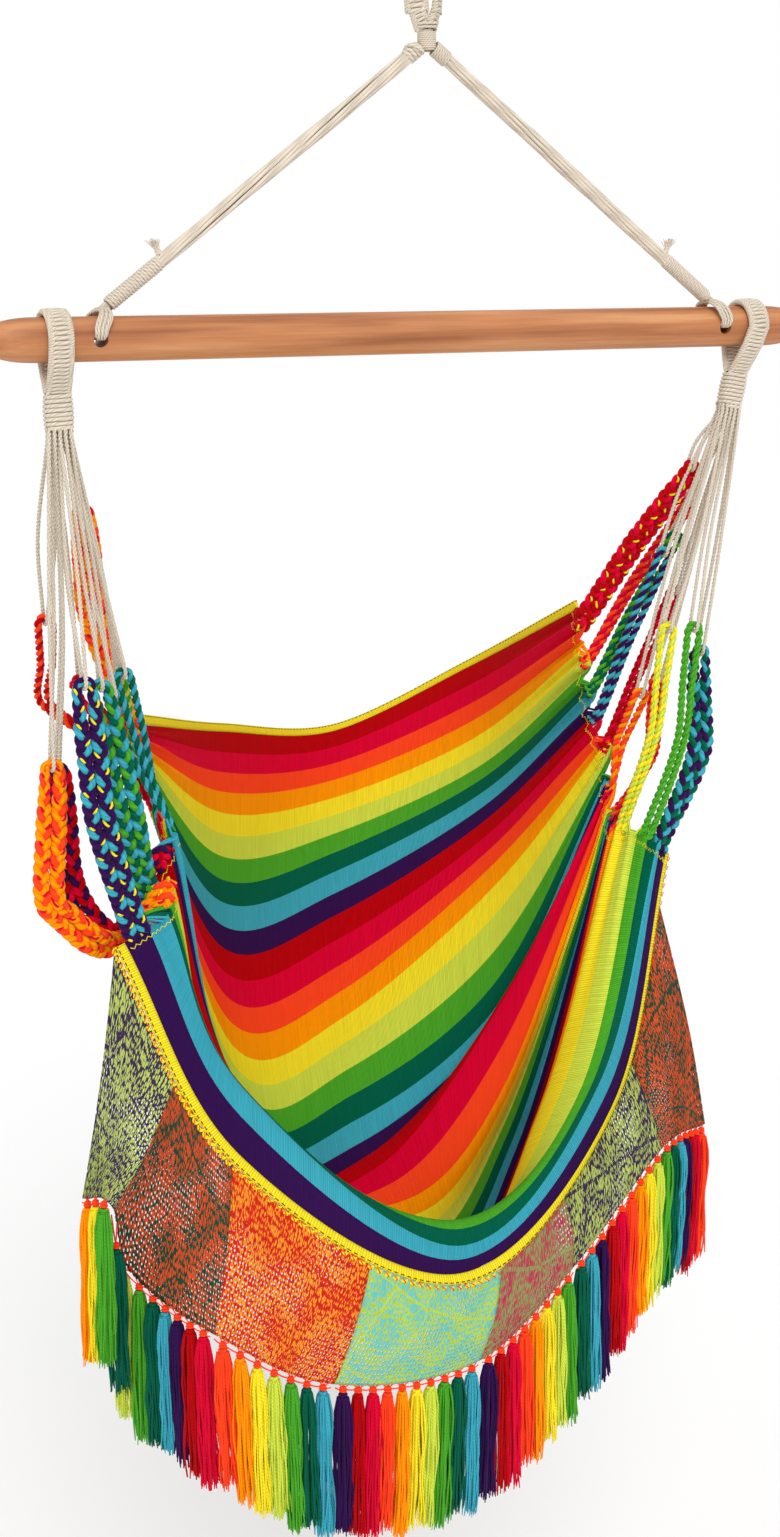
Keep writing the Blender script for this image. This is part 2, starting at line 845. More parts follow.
@dataclass(frozen=True)
class YarnFinish(Finish):
    """Dyed or natural cotton yarn, laid as strands with a UV map round and along them.

    Attributes:
        colour: The yarn's linear colour.
        plies: Plies round the strand.
        pitch: Length of one ply's turn, in metres.
        depth: Height of the plies, in metres.
    """

    colour: Colour = (0.8, 0.8, 0.8)
    plies: float = 3.0
    pitch: float = 0.006
    depth: float = 0.0004

    def dress(self, shader: Shader, surface: Inputs) -> None:
        """Wire up the plies and the fibres."""
        twist = shader.group(
            "yarn_twist", Vector=shader.coordinates("UV"), Plies=self.plies, Pitch=self.pitch,
        )
        fibre = shader.group("cotton_fibre", Vector=shader.coordinates("Object"), Scale=1100.0)
        tone = shader.math("MULTIPLY", twist["Shade"], fibre["Shade"])
        self.colour_in(shader, surface, self.colour, tone)
        height = shader.math("MULTIPLY_ADD", fibre["Height"], 0.3, twist["Height"])
        self.bump(shader, surface, height, self.depth)


@dataclass(frozen=True)
class StripedCloth(Finish):
    """Ribbed cotton cloth with ten dyes that repeat four times."""

    def dress(self, shader: Shader, surface: Inputs) -> None:
        """Wire up the stripes and the ribs."""
        uv = shader.coordinates("UV")
        ragged = shader.noise(shader.stretched(uv, (1200, 60, 1)), 1.0, 1.0)
        place = shader.math("DIVIDE", shader.parts(uv)[1], FLAT_WEFT * MM)
        centred = shader.math("SUBTRACT", place, 0.0004)
        place = shader.math("MULTIPLY_ADD", ragged, 0.0008, centred)
        repeat = shader.math("FRACT", shader.math("MULTIPLY", place, STRIPES / len(Dye)))
        stops = [(i / len(Dye), dye.linear) for i, dye in enumerate(Dye)]
        weave = shader.group(
            "woven_ribs", Vector=uv, Rib_Pitch=0.0021, Yarn_Pitch=0.0011, Depth=0.5,
        )
        colour = shader.ramp(repeat, stops, "CONSTANT")
        self.colour_in(shader, surface, colour, weave["Shade"])
        self.bump(shader, surface, weave["Height"], 0.0005)


@dataclass(frozen=True)
class BandFinish(Finish):
    """A plain woven band with a row of needle holes: the selvages.

    Attributes:
        colour: The band's linear colour.
        rib: Pitch of its ribs, in metres.
        holes: How far its row of needle holes lies from the cloth, in metres.
        stitch: Length of a stitch from hole to hole, in metres.
    """

    colour: Colour = (0.8, 0.7, 0.1)
    rib: float = 0.0028
    holes: float = 0.0095
    stitch: float = 0.0072

    def dress(self, shader: Shader, surface: Inputs) -> None:
        """Wire up the ribs and the needle holes."""
        uv = shader.coordinates("UV")
        weave = shader.group(
            "woven_ribs", Vector=uv, Rib_Pitch=self.rib, Yarn_Pitch=0.0016, Depth=0.45,
        )
        parts = shader.parts(uv)
        beside = shader.math("ABSOLUTE", shader.math("SUBTRACT", parts[1], self.holes))
        along = shader.math("PINGPONG", parts[0], self.stitch / 2)
        hole = shader.math(
            "MULTIPLY", shader.math("LESS_THAN", beside, 0.0007),
            shader.math("LESS_THAN", along, 0.0021),
        )
        colour = shader.blend(hole, self.colour, linear((120, 70, 20)))
        self.colour_in(shader, surface, colour, weave["Shade"])
        self.bump(shader, surface, weave["Height"], 0.0006)


@dataclass(frozen=True)
class LaceFinish(Finish):
    """Semi-open weave in two dyes: floats of one over the other, with small gaps between.

    Attributes:
        floats: Linear colour of the long floats.
        ground: Linear colour of the ground.
        share: Share of the ground that shows.
        slant: How far the floats lean, as a slope.
        openness: How fast the see-through gaps widen towards the hem, per metre.
    """

    floats: Colour = (0.5, 0.5, 0.5)
    ground: Colour = (0.1, 0.1, 0.1)
    share: float = 0.45
    slant: float = 0.15
    openness: float = 2.5

    def ground_level(self, shader: Shader, uv: Socket, uneven: Socket) -> Socket:
        """How much ground shows: more in soft bands, in lozenges and in thin crossing rows.

        Args:
            shader: The material's Shader.
            uv: The lace's UV map.
            uneven: A chance value for each float.

        Returns:
            The level.
        """
        parts = shader.parts(uv)
        across = shader.math("PINGPONG", parts[0], 0.034)
        down = shader.math("PINGPONG", parts[1], 0.05)
        lozenges = shader.math("MULTIPLY", shader.math("ADD", across, down), 150.0)
        figure = shader.math("SINE", lozenges)
        swell = shader.noise(uv, 22.0, 1.0)
        base = shader.math("MULTIPLY_ADD", swell, 0.16, self.share - 0.08)
        level = shader.math("MULTIPLY_ADD", figure, 0.08, base)
        steep = shader.math("MULTIPLY_ADD", parts[1], 0.35, parts[0])
        steep = shader.math("MULTIPLY_ADD", swell, 0.03, steep)
        flat = shader.math("MULTIPLY_ADD", parts[0], -0.3, parts[1])
        rows = shader.math(
            "MINIMUM", shader.math("PINGPONG", steep, 0.024),
            shader.math("PINGPONG", flat, 0.0415),
        )
        row = shader.math("MULTIPLY", shader.math("LESS_THAN", rows, 0.0013), 0.22)
        return shader.math("ADD", level, shader.math("MULTIPLY_ADD", uneven, 0.14, row))

    def dress(self, shader: Shader, surface: Inputs) -> None:
        """Wire up the floats, the ground and the gaps."""
        uv = shader.coordinates("UV")
        parts = shader.parts(uv)
        slanted = shader.math("MULTIPLY_ADD", parts[1], self.slant, parts[0])
        lean = shader.made("CombineXYZ", {"X": slanted, "Y": parts[1]}).outputs[0]
        floats = shader.cells(shader.stretched(lean, (560, 165, 1)), 0.75)
        chance = shader.made("SeparateColor", {"Color": floats["Color"]}).outputs[0]
        edge = shader.math("SUBTRACT", 1.0, floats["Distance"])
        over = shader.math("SUBTRACT", edge, self.ground_level(shader, uv, chance))
        pick = shader.math("MAXIMUM", shader.math("MULTIPLY", over, 9.0), 0.0)
        colour = shader.blend(shader.math("MINIMUM", pick, 1.0), self.ground, self.floats)
        self.colour_in(shader, surface, colour, shader.math("MULTIPLY_ADD", edge, 0.4, 0.66))
        gaps = shader.cells(shader.stretched(lean, (235, 215, 1)), 0.35)
        patch = shader.math("SUBTRACT", shader.noise(uv, 13.0, 1.0), 0.42)
        wider = shader.math("MULTIPLY", patch, 1.3)
        lower = shader.math("MULTIPLY_ADD", parts[1], self.openness, wider)
        size = shader.math("MINIMUM", shader.math("MULTIPLY_ADD", lower, 0.8, -0.03), 0.23)
        shader.feed(surface["Alpha"], shader.math("GREATER_THAN", gaps["Distance"], size))
        self.bump(shader, surface, edge, 0.0008)


@dataclass(frozen=True)
class HardwoodFinish(Finish):
    """Turned hardwood with an oiled surface.

    Attributes:
        dark: The linear colour of its darker grain.
        colour: The wood's linear colour.
        pale: The linear colour of its paler grain.
    """

    dark: Colour = (0.3, 0.1, 0.03)
    colour: Colour = (0.5, 0.2, 0.06)
    pale: Colour = (0.6, 0.3, 0.12)

    def dress(self, shader: Shader, surface: Inputs) -> None:
        """Wire up the grain."""
        surface["Specular IOR Level"].default_value = 0.5
        place = shader.coordinates("Object")
        grain = shader.noise(shader.stretched(place, (3.2, 75, 75)), 1.0, 5.0)
        fine = shader.noise(shader.stretched(place, (22, 700, 700)), 1.0, 3.0)
        cloud = shader.noise(shader.stretched(place, (7, 12, 12)), 1.0, 2.0)
        stops = [(0.32, self.dark), (0.52, self.colour), (0.7, self.pale)]
        streaks = shader.math("MULTIPLY_ADD", fine, 0.3, 0.7)
        tone = shader.math("MULTIPLY_ADD", cloud, 0.3, streaks)
        self.colour_in(shader, surface, shader.ramp(grain, stops, "LINEAR"), tone)
        rough = shader.math("MULTIPLY_ADD", fine, 0.25, self.roughness - 0.1)
        shader.feed(surface["Roughness"], rough)
        self.bump(shader, surface, fine, 0.00018, 0.7)


class Wardrobe:
    """All the chair's materials, built once: the dyed yarns by their dye, the laces by panel."""

    def __init__(self) -> None:
        """Build the shared groups and the materials."""
        build_yarn_twist()
        build_woven_ribs()
        build_cotton_fibre()

        def cream(name: str, plies: int, pitch: float, depth: float = 0.0004) -> Material:
            """A natural yarn's material."""
            colour = linear((217, 205, 187))
            finish = YarnFinish(
                name, sheen=0.1, colour=colour, plies=plies, pitch=pitch, depth=depth,
            )
            return finish.build()

        self.cloth = StripedCloth("striped_cotton", roughness=0.92).build()
        self.cream = cream("cream_cotton", 3, 0.0052)
        self.cream_fine = cream("cream_thread", 2, 0.0026, 0.0002)
        self.cream_smooth = cream("cream_roving", 2, 0.034, 0.0001)
        self.cream_dark = YarnFinish(
            "cream_shadow", colour=linear((150, 137, 114)), plies=2, pitch=0.004,
        ).build()
        self.wood = HardwoodFinish(
            "oiled_hardwood", roughness=0.5, dark=linear((152, 88, 46)),
            colour=linear((190, 122, 74)), pale=linear((210, 148, 98)),
        ).build()
        self.selvage = BandFinish("yellow_band", colour=linear((240, 220, 40))).build()
        self.dyed: dict[Dye, Material] = {}
        self.loose: dict[Dye, Material] = {}
        for dye in Dye:
            name = dye.name.lower()
            self.dyed[dye] = YarnFinish(
                f"yarn_{name}", sheen=0.04, colour=dye.linear, plies=3, pitch=0.0075,
            ).build()
            self.loose[dye] = YarnFinish(
                f"loose_{name}", sheen=0.03, colour=dye.linear, plies=2, pitch=0.004, depth=0.0002,
            ).build()
        self.lace: list[Material] = []
        for name, _ in LACE_PANELS:
            floats, ground, share, slant = LACES[name]
            self.lace.append(LaceFinish(
                f"lace_{name}", floats=linear(floats), ground=linear(ground), share=share,
                slant=slant,
            ).build())


# ------------------------------------------------------------------------------
# Makers: sheets, sweeps and strands.
# ------------------------------------------------------------------------------


def linked(name: str, data: bpy.types.ID) -> Object:
    """Put data into the scene as an object."""
    made = bpy.data.objects.new(name, data)
    bpy.context.scene.collection.objects.link(made)
    return made


def finish_piece(
    mesh: bpy.types.Mesh, name: str, body: str, materials: Sequence[Material], slot: str,
    replaces: Sequence[str] = (),
) -> Object:
    """Turn a mesh in metres into a finished piece.

    Args:
        mesh: The mesh, in the frame's place.
        name: The piece's name.
        body: The body that it rides on.
        materials: Its materials, by the numbers that its faces use.
        slot: The record's material slot.
        replaces: The part's nodes that it stands for.

    Returns:
        The piece.
    """
    for material in materials:
        mesh.materials.append(material)
    mesh.polygons.foreach_set("use_smooth", [True] * len(mesh.polygons))
    mesh.name = name
    piece = linked(name, mesh)
    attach(piece, body)
    if replaces:
        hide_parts(*replaces)
    LOG.info("%s: %d faces", name, len(mesh.polygons))
    return piece


def mesh_from(shape: BMesh, name: str, outwards: bool = True) -> bpy.types.Mesh:
    """Turn a bmesh in millimetres into a mesh in metres, and free it.

    Args:
        shape: The bmesh.
        name: The mesh's name.
        outwards: Whether to turn its faces outwards first.

    Returns:
        The mesh.
    """
    if outwards:
        bmesh.ops.recalc_face_normals(shape, faces=shape.faces)
    bmesh.ops.scale(shape, vec=Vector((MM, MM, MM)), verts=shape.verts)
    mesh = bpy.data.meshes.new(name)
    shape.to_mesh(mesh)
    shape.free()
    return mesh


def finish_sheet(
    shape: BMesh, name: str, material: Material, slot: str, node: str, thickness: float,
) -> Object:
    """Turn a thin bmesh in millimetres into a finished piece of the sling.

    Args:
        shape: The bmesh.
        name: The piece's name.
        material: Its material.
        slot: The record's material slot.
        node: The part's node that it stands for.
        thickness: Its thickness, laid evenly to both sides.

    Returns:
        The piece.
    """
    piece = finish_piece(mesh_from(shape, name, False), name, "sling", [material], slot, [node])
    shell = piece.modifiers.new("thickness", "SOLIDIFY")
    shell.thickness = thickness * MM
    shell.offset = 0
    return piece


def sheet(
    columns: int, rows: int, place: Callable[[float, float], Vector], flat: Offsets,
) -> BMesh:
    """Lay a grid over a surface.

    Args:
        columns: Steps across.
        rows: Steps down.
        place: Gives a point in millimetres from the two shares of the grid.
        flat: The cloth's flat width and length in metres, for its UV map.

    Returns:
        The bmesh.
    """
    shape = bmesh.new()
    shape.loops.layers.uv.new("UVMap")
    bmesh.ops.create_grid(shape, x_segments=columns, y_segments=rows, size=1.0, calc_uvs=True)
    layer = shape.loops.layers.uv.active
    for face in shape.faces:
        for loop in face.loops:
            share = loop.vert.co
            loop[layer].uv = ((share.x + 1) / 2 * flat[0], (share.y + 1) / 2 * flat[1])
    for vertex in shape.verts:
        vertex.co = place(clamp((vertex.co.x + 1) / 2), clamp((vertex.co.y + 1) / 2))
    return shape


def sweep(frames: Frames, section: Callable[[float], Sequence[Offsets]]) -> BMesh:
    """Extrude a section along a route and close its two ends.

    Args:
        frames: The route and its cross directions.
        section: Gives the section's offsets at a share of the route, as many at every share.

    Returns:
        The bmesh, with a UV map round and along the sweep.
    """
    last = len(frames.route) - 1
    rings = [section(share) for share in in_steps(last)]
    sides = len(rings[0])

    def place(around: float, down: float) -> Vector:
        """The sweep's point from its shares round and along it."""
        i = round(down * last)
        return frames.place(i, *rings[i][round(around * sides) % sides])

    shape = sheet(sides, last, place, (1.0, length_of(frames.route) * MM))
    bmesh.ops.remove_doubles(shape, verts=shape.verts, dist=1e-4)
    ends = [edge for edge in shape.edges if edge.is_boundary]
    bmesh.ops.holes_fill(shape, edges=ends, sides=0)
    return shape


@dataclass
class Strands:
    """Collects strands of yarn and makes them one mesh.

    Attributes:
        name: The piece's name.
        materials: The yarn materials, which each strand names by number.
        roundness: How round the strands are: 0 gives them four faces.
        shape: The bmesh that gathers them, in metres.
    """

    name: str
    materials: list[Material]
    roundness: int = 1
    shape: BMesh = field(default_factory=bmesh.new)

    def lay(
        self, lines: Sequence[Sequence[Vector]], radius: float, material: int = 0,
        radii: Sequence[float] | None = None, closed: bool = False,
    ) -> None:
        """Lay strands of one length and thickness.

        Args:
            lines: Each strand's points in millimetres.
            radius: The strands' radius in millimetres.
            material: The number of their material.
            radii: A share of the radius at each point, where it varies.
            closed: Whether each strand is a ring.
        """
        curve = bpy.data.curves.new("strand", "CURVE")
        curve.dimensions = "3D"
        curve.bevel_depth = radius * MM
        curve.bevel_resolution = self.roundness
        curve.use_fill_caps = not closed
        for line in lines:
            spline = curve.splines.new("POLY")
            spline.points.add(len(line) - 1)
            flat = [value for point in line for value in (*(point * MM), 1.0)]
            spline.points.foreach_set("co", flat)
            if radii is not None:
                spline.points.foreach_set("radius", radii)
            spline.use_cyclic_u = closed
            spline.use_smooth = True
        holder = bpy.data.objects.new("strand", curve)
        mesh = bpy.data.meshes.new_from_object(holder)
        layer = mesh.uv_layers.active
        length = length_of(lines[0]) * MM
        values = [0.0] * (2 * len(layer.uv))
        layer.uv.foreach_get("vector", values)
        # A bevelled curve's map runs along it first; the yarn's runs round it first.
        turned = zip(values[1::2], (along * length for along in values[::2]))
        layer.uv.foreach_set("vector", [value for pair in turned for value in pair])
        mesh.polygons.foreach_set("material_index", [material] * len(mesh.polygons))
        self.shape.from_mesh(mesh)
        bpy.data.meshes.remove(mesh)
        bpy.data.objects.remove(holder)
        bpy.data.curves.remove(curve)

    def add(self, shape: BMesh, material: int = 0) -> None:
        """Add a bmesh in millimetres.

        Args:
            shape: The bmesh, which is freed.
            material: The number of its material.
        """
        for face in shape.faces:
            face.material_index = material
        mesh = mesh_from(shape, "added")
        self.shape.from_mesh(mesh)
        bpy.data.meshes.remove(mesh)

    def piece(self, body: str, *replaces: str, slot: str = "cream_cotton_cord") -> Object:
        """Make the strands one piece.

        Args:
            body: The body that the piece rides on.
            *replaces: The part's nodes that it stands for.
            slot: The record's material slot.

        Returns:
            The piece.
        """
        mesh = bpy.data.meshes.new(self.name)
        self.shape.to_mesh(mesh)
        self.shape.free()
        return finish_piece(mesh, self.name, body, self.materials, slot, replaces)


def wrapping(
    frames: Frames, outline: Callable[[float], Offsets], pitch: float, steps: int,
    grow: Callable[[float], Offsets] = lambda _: (1.0, 1.0),
) -> list[Vector]:
    """Wind a thread round a route.

    Args:
        frames: The route, in even steps.
        outline: Gives the offsets across the route from a turn's share, 0 to 1.
        pitch: Distance along the route from one turn to the next.
        steps: Points to each turn.
        grow: Gives how much larger the outline is, across and through, at a share of the route.

    Returns:
        The thread's points.
    """
    count = int(length_of(frames.route) / pitch * steps)
    last = len(frames.route) - 1
    made = []
    for i in range(count + 1):
        place = i / count * last
        low = min(int(place), last - 1)
        wide, thick = outline((i / steps) % 1.0)
        size = grow(i / count)
        before = frames.place(low, wide * size[0], thick * size[1])
        after = frames.place(low + 1, wide * size[0], thick * size[1])
        made.append(before.lerp(after, place - low))
    return made


@dataclass(frozen=True)
class Winding:
    """Close turns of thread round a core.

    Attributes:
        thread: The thread's radius.
        pitch: Distance from one turn to the next.
        steps: Points to each turn.
        sides: Faces round the core.
    """

    thread: float
    pitch: float
    steps: int
    sides: int

    def wind(
        self, work: Strands, frames: Frames, core: Callable[[float], float],
        reach: Callable[[float], float],
    ) -> None:
        """Lay the core and the thread round it.

        Args:
            work: The strands that they are added to.
            frames: The route.
            core: Gives the core's radius at a share of the route.
            reach: Gives the radius that the thread's middle winds at.
        """
        work.add(sweep(frames, lambda share: circle(core(share), self.sides)), 1)
        around = wrapping(
            frames, round_outline, self.pitch, self.steps, lambda share: (reach(share),) * 2,
        )
        work.lay([around], self.thread)


def twisted(
    frames: Frames, plies: int, offset: float, pitch: float, start: float = 0.0,
) -> list[list[Vector]]:
    """The plies of a twisted cord.

    Args:
        frames: The cord's route.
        plies: How many plies.
        offset: How far each lies from the middle.
        pitch: Length of a turn.
        start: The turn's share at the route's start.

    Returns:
        Each ply's points.
    """
    made = []
    for ply in range(plies):
        def around(run: float, ply: int = ply) -> Offsets:
            """The ply's offsets at a run along the cord."""
            angle = TURN * (run / pitch + ply / plies + start)
            return offset * math.cos(angle), offset * math.sin(angle)
        made.append(frames.wound(around))
    return made


def band_section(reach: Offsets, sides: int = 20) -> list[Offsets]:
    """The outline of a flat band with rounded edges, from half its width and thickness."""
    return [squared_off(TURN * (i + 0.5) / sides, reach, (0.45, 0.7)) for i in range(sides)]


def cream_work(wardrobe: Wardrobe, name: str) -> Strands:
    """Start cream cotton work: its thread is material 0, its shadowed core material 1."""
    return Strands(name, [wardrobe.cream, wardrobe.cream_dark])


def dress_band(
    band: Strands, frames: Frames, half_width: float, half_thickness: float, pitch: float,
) -> None:
    """Dress a flat band: a core, stitches wound round it and a chain along each edge.

    Args:
        band: The strands that it is added to.
        frames: The band's route, its first direction lying across the band.
        half_width: Half the band's width.
        half_thickness: Half its thickness.
        pitch: Distance between the stitches.
    """
    thread = min(pitch * 0.5, 2.3)
    inset = thread * 0.9
    core = band_section((half_width - inset, half_thickness - inset))
    band.add(sweep(frames, lambda _: core), 1)

    def outline(share: float) -> Offsets:
        """The stitch's path round the band."""
        reach = (half_width - thread, half_thickness - inset)
        return squared_off(TURN * share, reach, (0.5, 0.75))

    band.lay([wrapping(frames, outline, pitch, 24)], thread)
    edge_radius = 1.5
    for sign in (-1, 1):
        offset = sign * (half_width - edge_radius)
        edge = [frames.place(i, offset, 0) for i in range(len(frames.route))]
        chain = Frames(even_route(edge, pitch / 8), frames.wide[len(frames.wide) // 2])
        for ply in twisted(chain, 2, half_thickness * 0.56, pitch * 1.2):
            band.lay([ply], edge_radius)


# ------------------------------------------------------------------------------
# The hanging rope.
# ------------------------------------------------------------------------------


@dataclass
class HangingRope:
    """The rope eye, its throat and neck, and the two strand bundles with their wrappings.

    Attributes:
        wardrobe: The materials.
        eye_pitch: Distance between the eye's stitches.
        whipping_pitch: Distance between the whippings' turns.
        strand_radius: Radius of one strand of a bundle.
    """

    wardrobe: Wardrobe
    eye_pitch: float = 4.9
    whipping_pitch: float = 3.1
    strand_radius: float = 1.95

    def build(self) -> None:
        """Build every piece of the rope."""
        self.build_eye()
        self.build_throat()
        self.build_neck()
        for side in Side:
            self.build_bundle(side)

    def build_eye(self) -> None:
        """Build the dressed band of the eye: up one leg, round the bow and down the other."""
        centre = EYE_THICKNESS / 2 - EYE_BOW_RADIUS
        foot = THROAT_TOP - 4
        legs = []
        for side, turn in EYE_LEGS:
            leg = []
            for share in in_steps(12):
                swell = math.sin(share * math.pi / 2) ** 1.6
                x = side * (EYE_FOOT_OFFSET + (EYE_BOW_RADIUS - EYE_FOOT_OFFSET) * swell)
                point = Vector((x, 0, foot + (centre - foot) * share))
                leg.append((point, turn + (math.pi / 2 - turn) * share))
            legs.append(leg)
        bow = []
        for i in range(1, 24):
            angle = math.pi * (1 - i / 24)
            rise = EYE_BOW_RADIUS * math.sin(angle)
            bow.append((Vector((EYE_BOW_RADIUS * math.cos(angle), 0, centre + rise)), math.pi / 2))
        points, turns = zip(*legs[0], *bow, *legs[1][::-1])
        route = even_route(points, step=2.0)
        runs = runs_along(points)
        across = []
        for i in range(len(route)):
            goal = runs[-1] * i / (len(route) - 1)
            j = min(bisect_right(runs, goal + 1e-6), len(runs) - 1) - 1
            share = (goal - runs[j]) / (runs[j + 1] - runs[j])
            turn = turns[j] + (turns[j + 1] - turns[j]) * share
            across.append(Vector((math.cos(turn), math.sin(turn), 0)))
        LOG.info("hanging eye: %.0f mm long", runs[-1])
        eye = cream_work(self.wardrobe, "hanging_eye_band")
        dress_band(eye, Frames(route, across), EYE_WIDTH / 2, EYE_THICKNESS / 2, self.eye_pitch)
        eye.piece("eye", "hanging_eye")

    def build_throat(self) -> None:
        """Build the throat: the eye's two legs draw together into a few turns of cord."""
        throat = cream_work(self.wardrobe, "eye_throat_wrap")
        foot_offset, thread = 3.4, 1.5
        for side, turn in EYE_LEGS:
            route, across = [], []
            for share in in_steps(12):
                x = side * (EYE_FOOT_OFFSET - (EYE_FOOT_OFFSET - foot_offset) * share)
                z = THROAT_TOP - 0.6 - (THROAT_LENGTH - 0.8) * share
                route.append(Vector((x, 0, z)))
                lying = Vector((math.cos(turn), math.sin(turn) * (1 - 0.5 * share), 0))
                across.append(lying.normalized())
            legs = Frames(route, across)
            dress_band(throat, legs, EYE_WIDTH * 0.35, EYE_THICKNESS / 2, self.eye_pitch * 0.8)
        route = [Vector((0, 0, NECK_TOP + 6.4 - 6.2 * i / 6)) for i in range(7)]
        around = wrapping(
            Frames(route, X_AXIS), round_outline, pitch=2 * thread, steps=30,
            grow=lambda share: (NECK_RADIUS + 1.6 - 1.4 * share, NECK_RADIUS - 2.6 * share),
        )
        throat.lay([around], thread)
        throat.piece("throat", "eye_throat")

    def build_neck(self) -> None:
        """Build the neck: a smooth close whipping with eased ends."""
        top, foot = NECK_TOP - 0.5, NECK_FOOT + 0.5
        route = [Vector((0, 0, top + (foot - top) * i / 16)) for i in range(17)]

        def size(share: float) -> float:
            """The neck's radius at a share of its length."""
            ends = min(share, 1 - share) * NECK_LENGTH
            return NECK_RADIUS - 0.9 - 3.2 * max(1 - ends / 3.5, 0) ** 2

        neck = Strands("neck_whipping_wrap", [self.wardrobe.cream_fine, self.wardrobe.cream_dark])
        winding = Winding(thread=1.05, pitch=1.9, steps=28, sides=24)
        winding.wind(neck, Frames(route, X_AXIS), size, lambda share: size(share) + 0.1)
        neck.piece("neck", "neck_whipping")

    def build_bundle(self, side: Side) -> None:
        """Build one side's collar, strands, whipping, tie and bar eye.

        Args:
            side: Which side.
        """
        pivot = Vector((0, 0, NECK_FOOT + NECK_RADIUS))
        foot = Vector((side.value * HOLE_OFFSET, 0, -BAR_DROP + BAR_RADIUS))
        along = (foot - pivot).normalized()
        start = pivot + along * (NECK_RADIUS + CLEARANCE)
        apart = COLLAR_RADIUS * abs(along.z) + CLEARANCE - abs(start.x)
        start += along * (max(apart, 0) / abs(along.x))
        collar_foot = start + along * COLLAR_LENGTH
        whipping_foot = foot - along * ((STRAP_RISE - BAR_RADIUS) / abs(along.z))
        whipping_top = whipping_foot - along * WHIPPING_LENGTH
        self.build_strands(side, collar_foot - along * 3, whipping_top + along * 4)
        self.build_collar(side, start, collar_foot)
        self.build_whipping(side, whipping_top, whipping_foot)
        self.build_tie(side, whipping_top, along)
        self.build_bar_eye(side, whipping_foot, along)
        LOG.info("%s bundle: %.0f mm long", side.label, (whipping_top - collar_foot).length)

    def build_strands(self, side: Side, start: Vector, end: Vector) -> None:
        """Lay the bundle's ten strands with a slow twist: nine round one in the middle.

        Args:
            side: Which side.
            start: Their upper end.
            end: Their lower end.
        """
        chance = random.Random(11 + side.value)
        route = [start.lerp(end, share) for share in in_steps(60)]
        frames = Frames(route, Y_AXIS)
        bundle = Strands(f"{side.label}_strand_bundle", [self.wardrobe.cream_smooth])
        total = length_of(route)
        outer = 9
        for strand in range(outer + 1):
            drift = chance.uniform(0, TURN)

            def beside(run: float, strand: int = strand, drift: float = drift) -> Offsets:
                """The strand's offsets, loose in the middle of the bundle's length."""
                share = run / total
                wander = 0.16 * math.sin(5 * share + drift)
                angle = TURN * strand / outer + side.value * math.pi * share + wander
                loose = 0.6 * math.sin(math.pi * share)
                reach = 4.7 + loose + 0.3 * math.sin(9 * share + drift)
                if strand == outer:
                    reach = 0.0
                return reach * math.cos(angle), reach * math.sin(angle)

            bundle.lay([frames.wound(beside)], self.strand_radius)
        bundle.piece("suspension", f"{side.label}_suspension_strands")

    def build_collar(self, side: Side, start: Vector, end: Vector) -> None:
        """Wrap the collar under the neck: a hitched knot on the left, fine turns on the right.

        Args:
            side: Which side.
            start: The collar's upper end.
            end: Its lower end.
        """
        frames = Frames([start.lerp(end, share) for share in in_steps(12)], Y_AXIS)
        collar = cream_work(self.wardrobe, f"{side.label}_collar_wrap")
        thread, pitch = (2.3, 4.4) if side is Side.LEFT else (1.2, 2.2)
        outer = COLLAR_RADIUS + 0.6

        def core(share: float) -> float:
            """The core's radius, drawn in at both ends."""
            return outer - thread * 1.2 - (2.0 if share in (0, 1) else 0)

        Winding(thread, pitch, steps=24, sides=16).wind(
            collar, frames, core, lambda _: outer - thread,
        )
        if side is Side.LEFT:
            # One turn of the hitch crosses the others.
            reach = outer + 0.3
            cross = []
            for share in in_steps(24):
                angle = math.pi * (0.9 + 1.2 * share)
                beside = frames.wide[0] * (reach * math.cos(angle))
                before = frames.thick[0] * (reach * math.sin(angle))
                cross.append(start.lerp(end, 0.16 + 0.68 * share) + beside + before)
            collar.lay([cross], radius=2.0)
        collar.piece("suspension", f"{side.label}_leg_collar")

    def build_whipping(self, side: Side, top: Vector, foot: Vector) -> None:
        """Wind the ribbed whipping above the bar.

        Args:
            side: Which side.
            top: Its upper end.
            foot: Its lower end.
        """
        frames = Frames([top.lerp(foot, share) for share in in_steps(40)], Y_AXIS)
        whipping = cream_work(self.wardrobe, f"{side.label}_whipping_wrap")
        pitch = self.whipping_pitch if side is Side.LEFT else self.whipping_pitch * 0.8
        thread = pitch * 0.54
        sunk = 0.2

        def size(share: float) -> float:
            """The winding's radius at a share of its length."""
            ends = min(share, 1 - share) * WHIPPING_LENGTH
            return WHIPPING_RADIUS - thread + sunk - 1.3 * max(1 - ends / 5, 0) ** 2

        Winding(thread, pitch, steps=22, sides=16).wind(
            whipping, frames, lambda share: size(share) - sunk, size,
        )
        whipping.piece("suspension", f"{side.label}_bar_whipping")

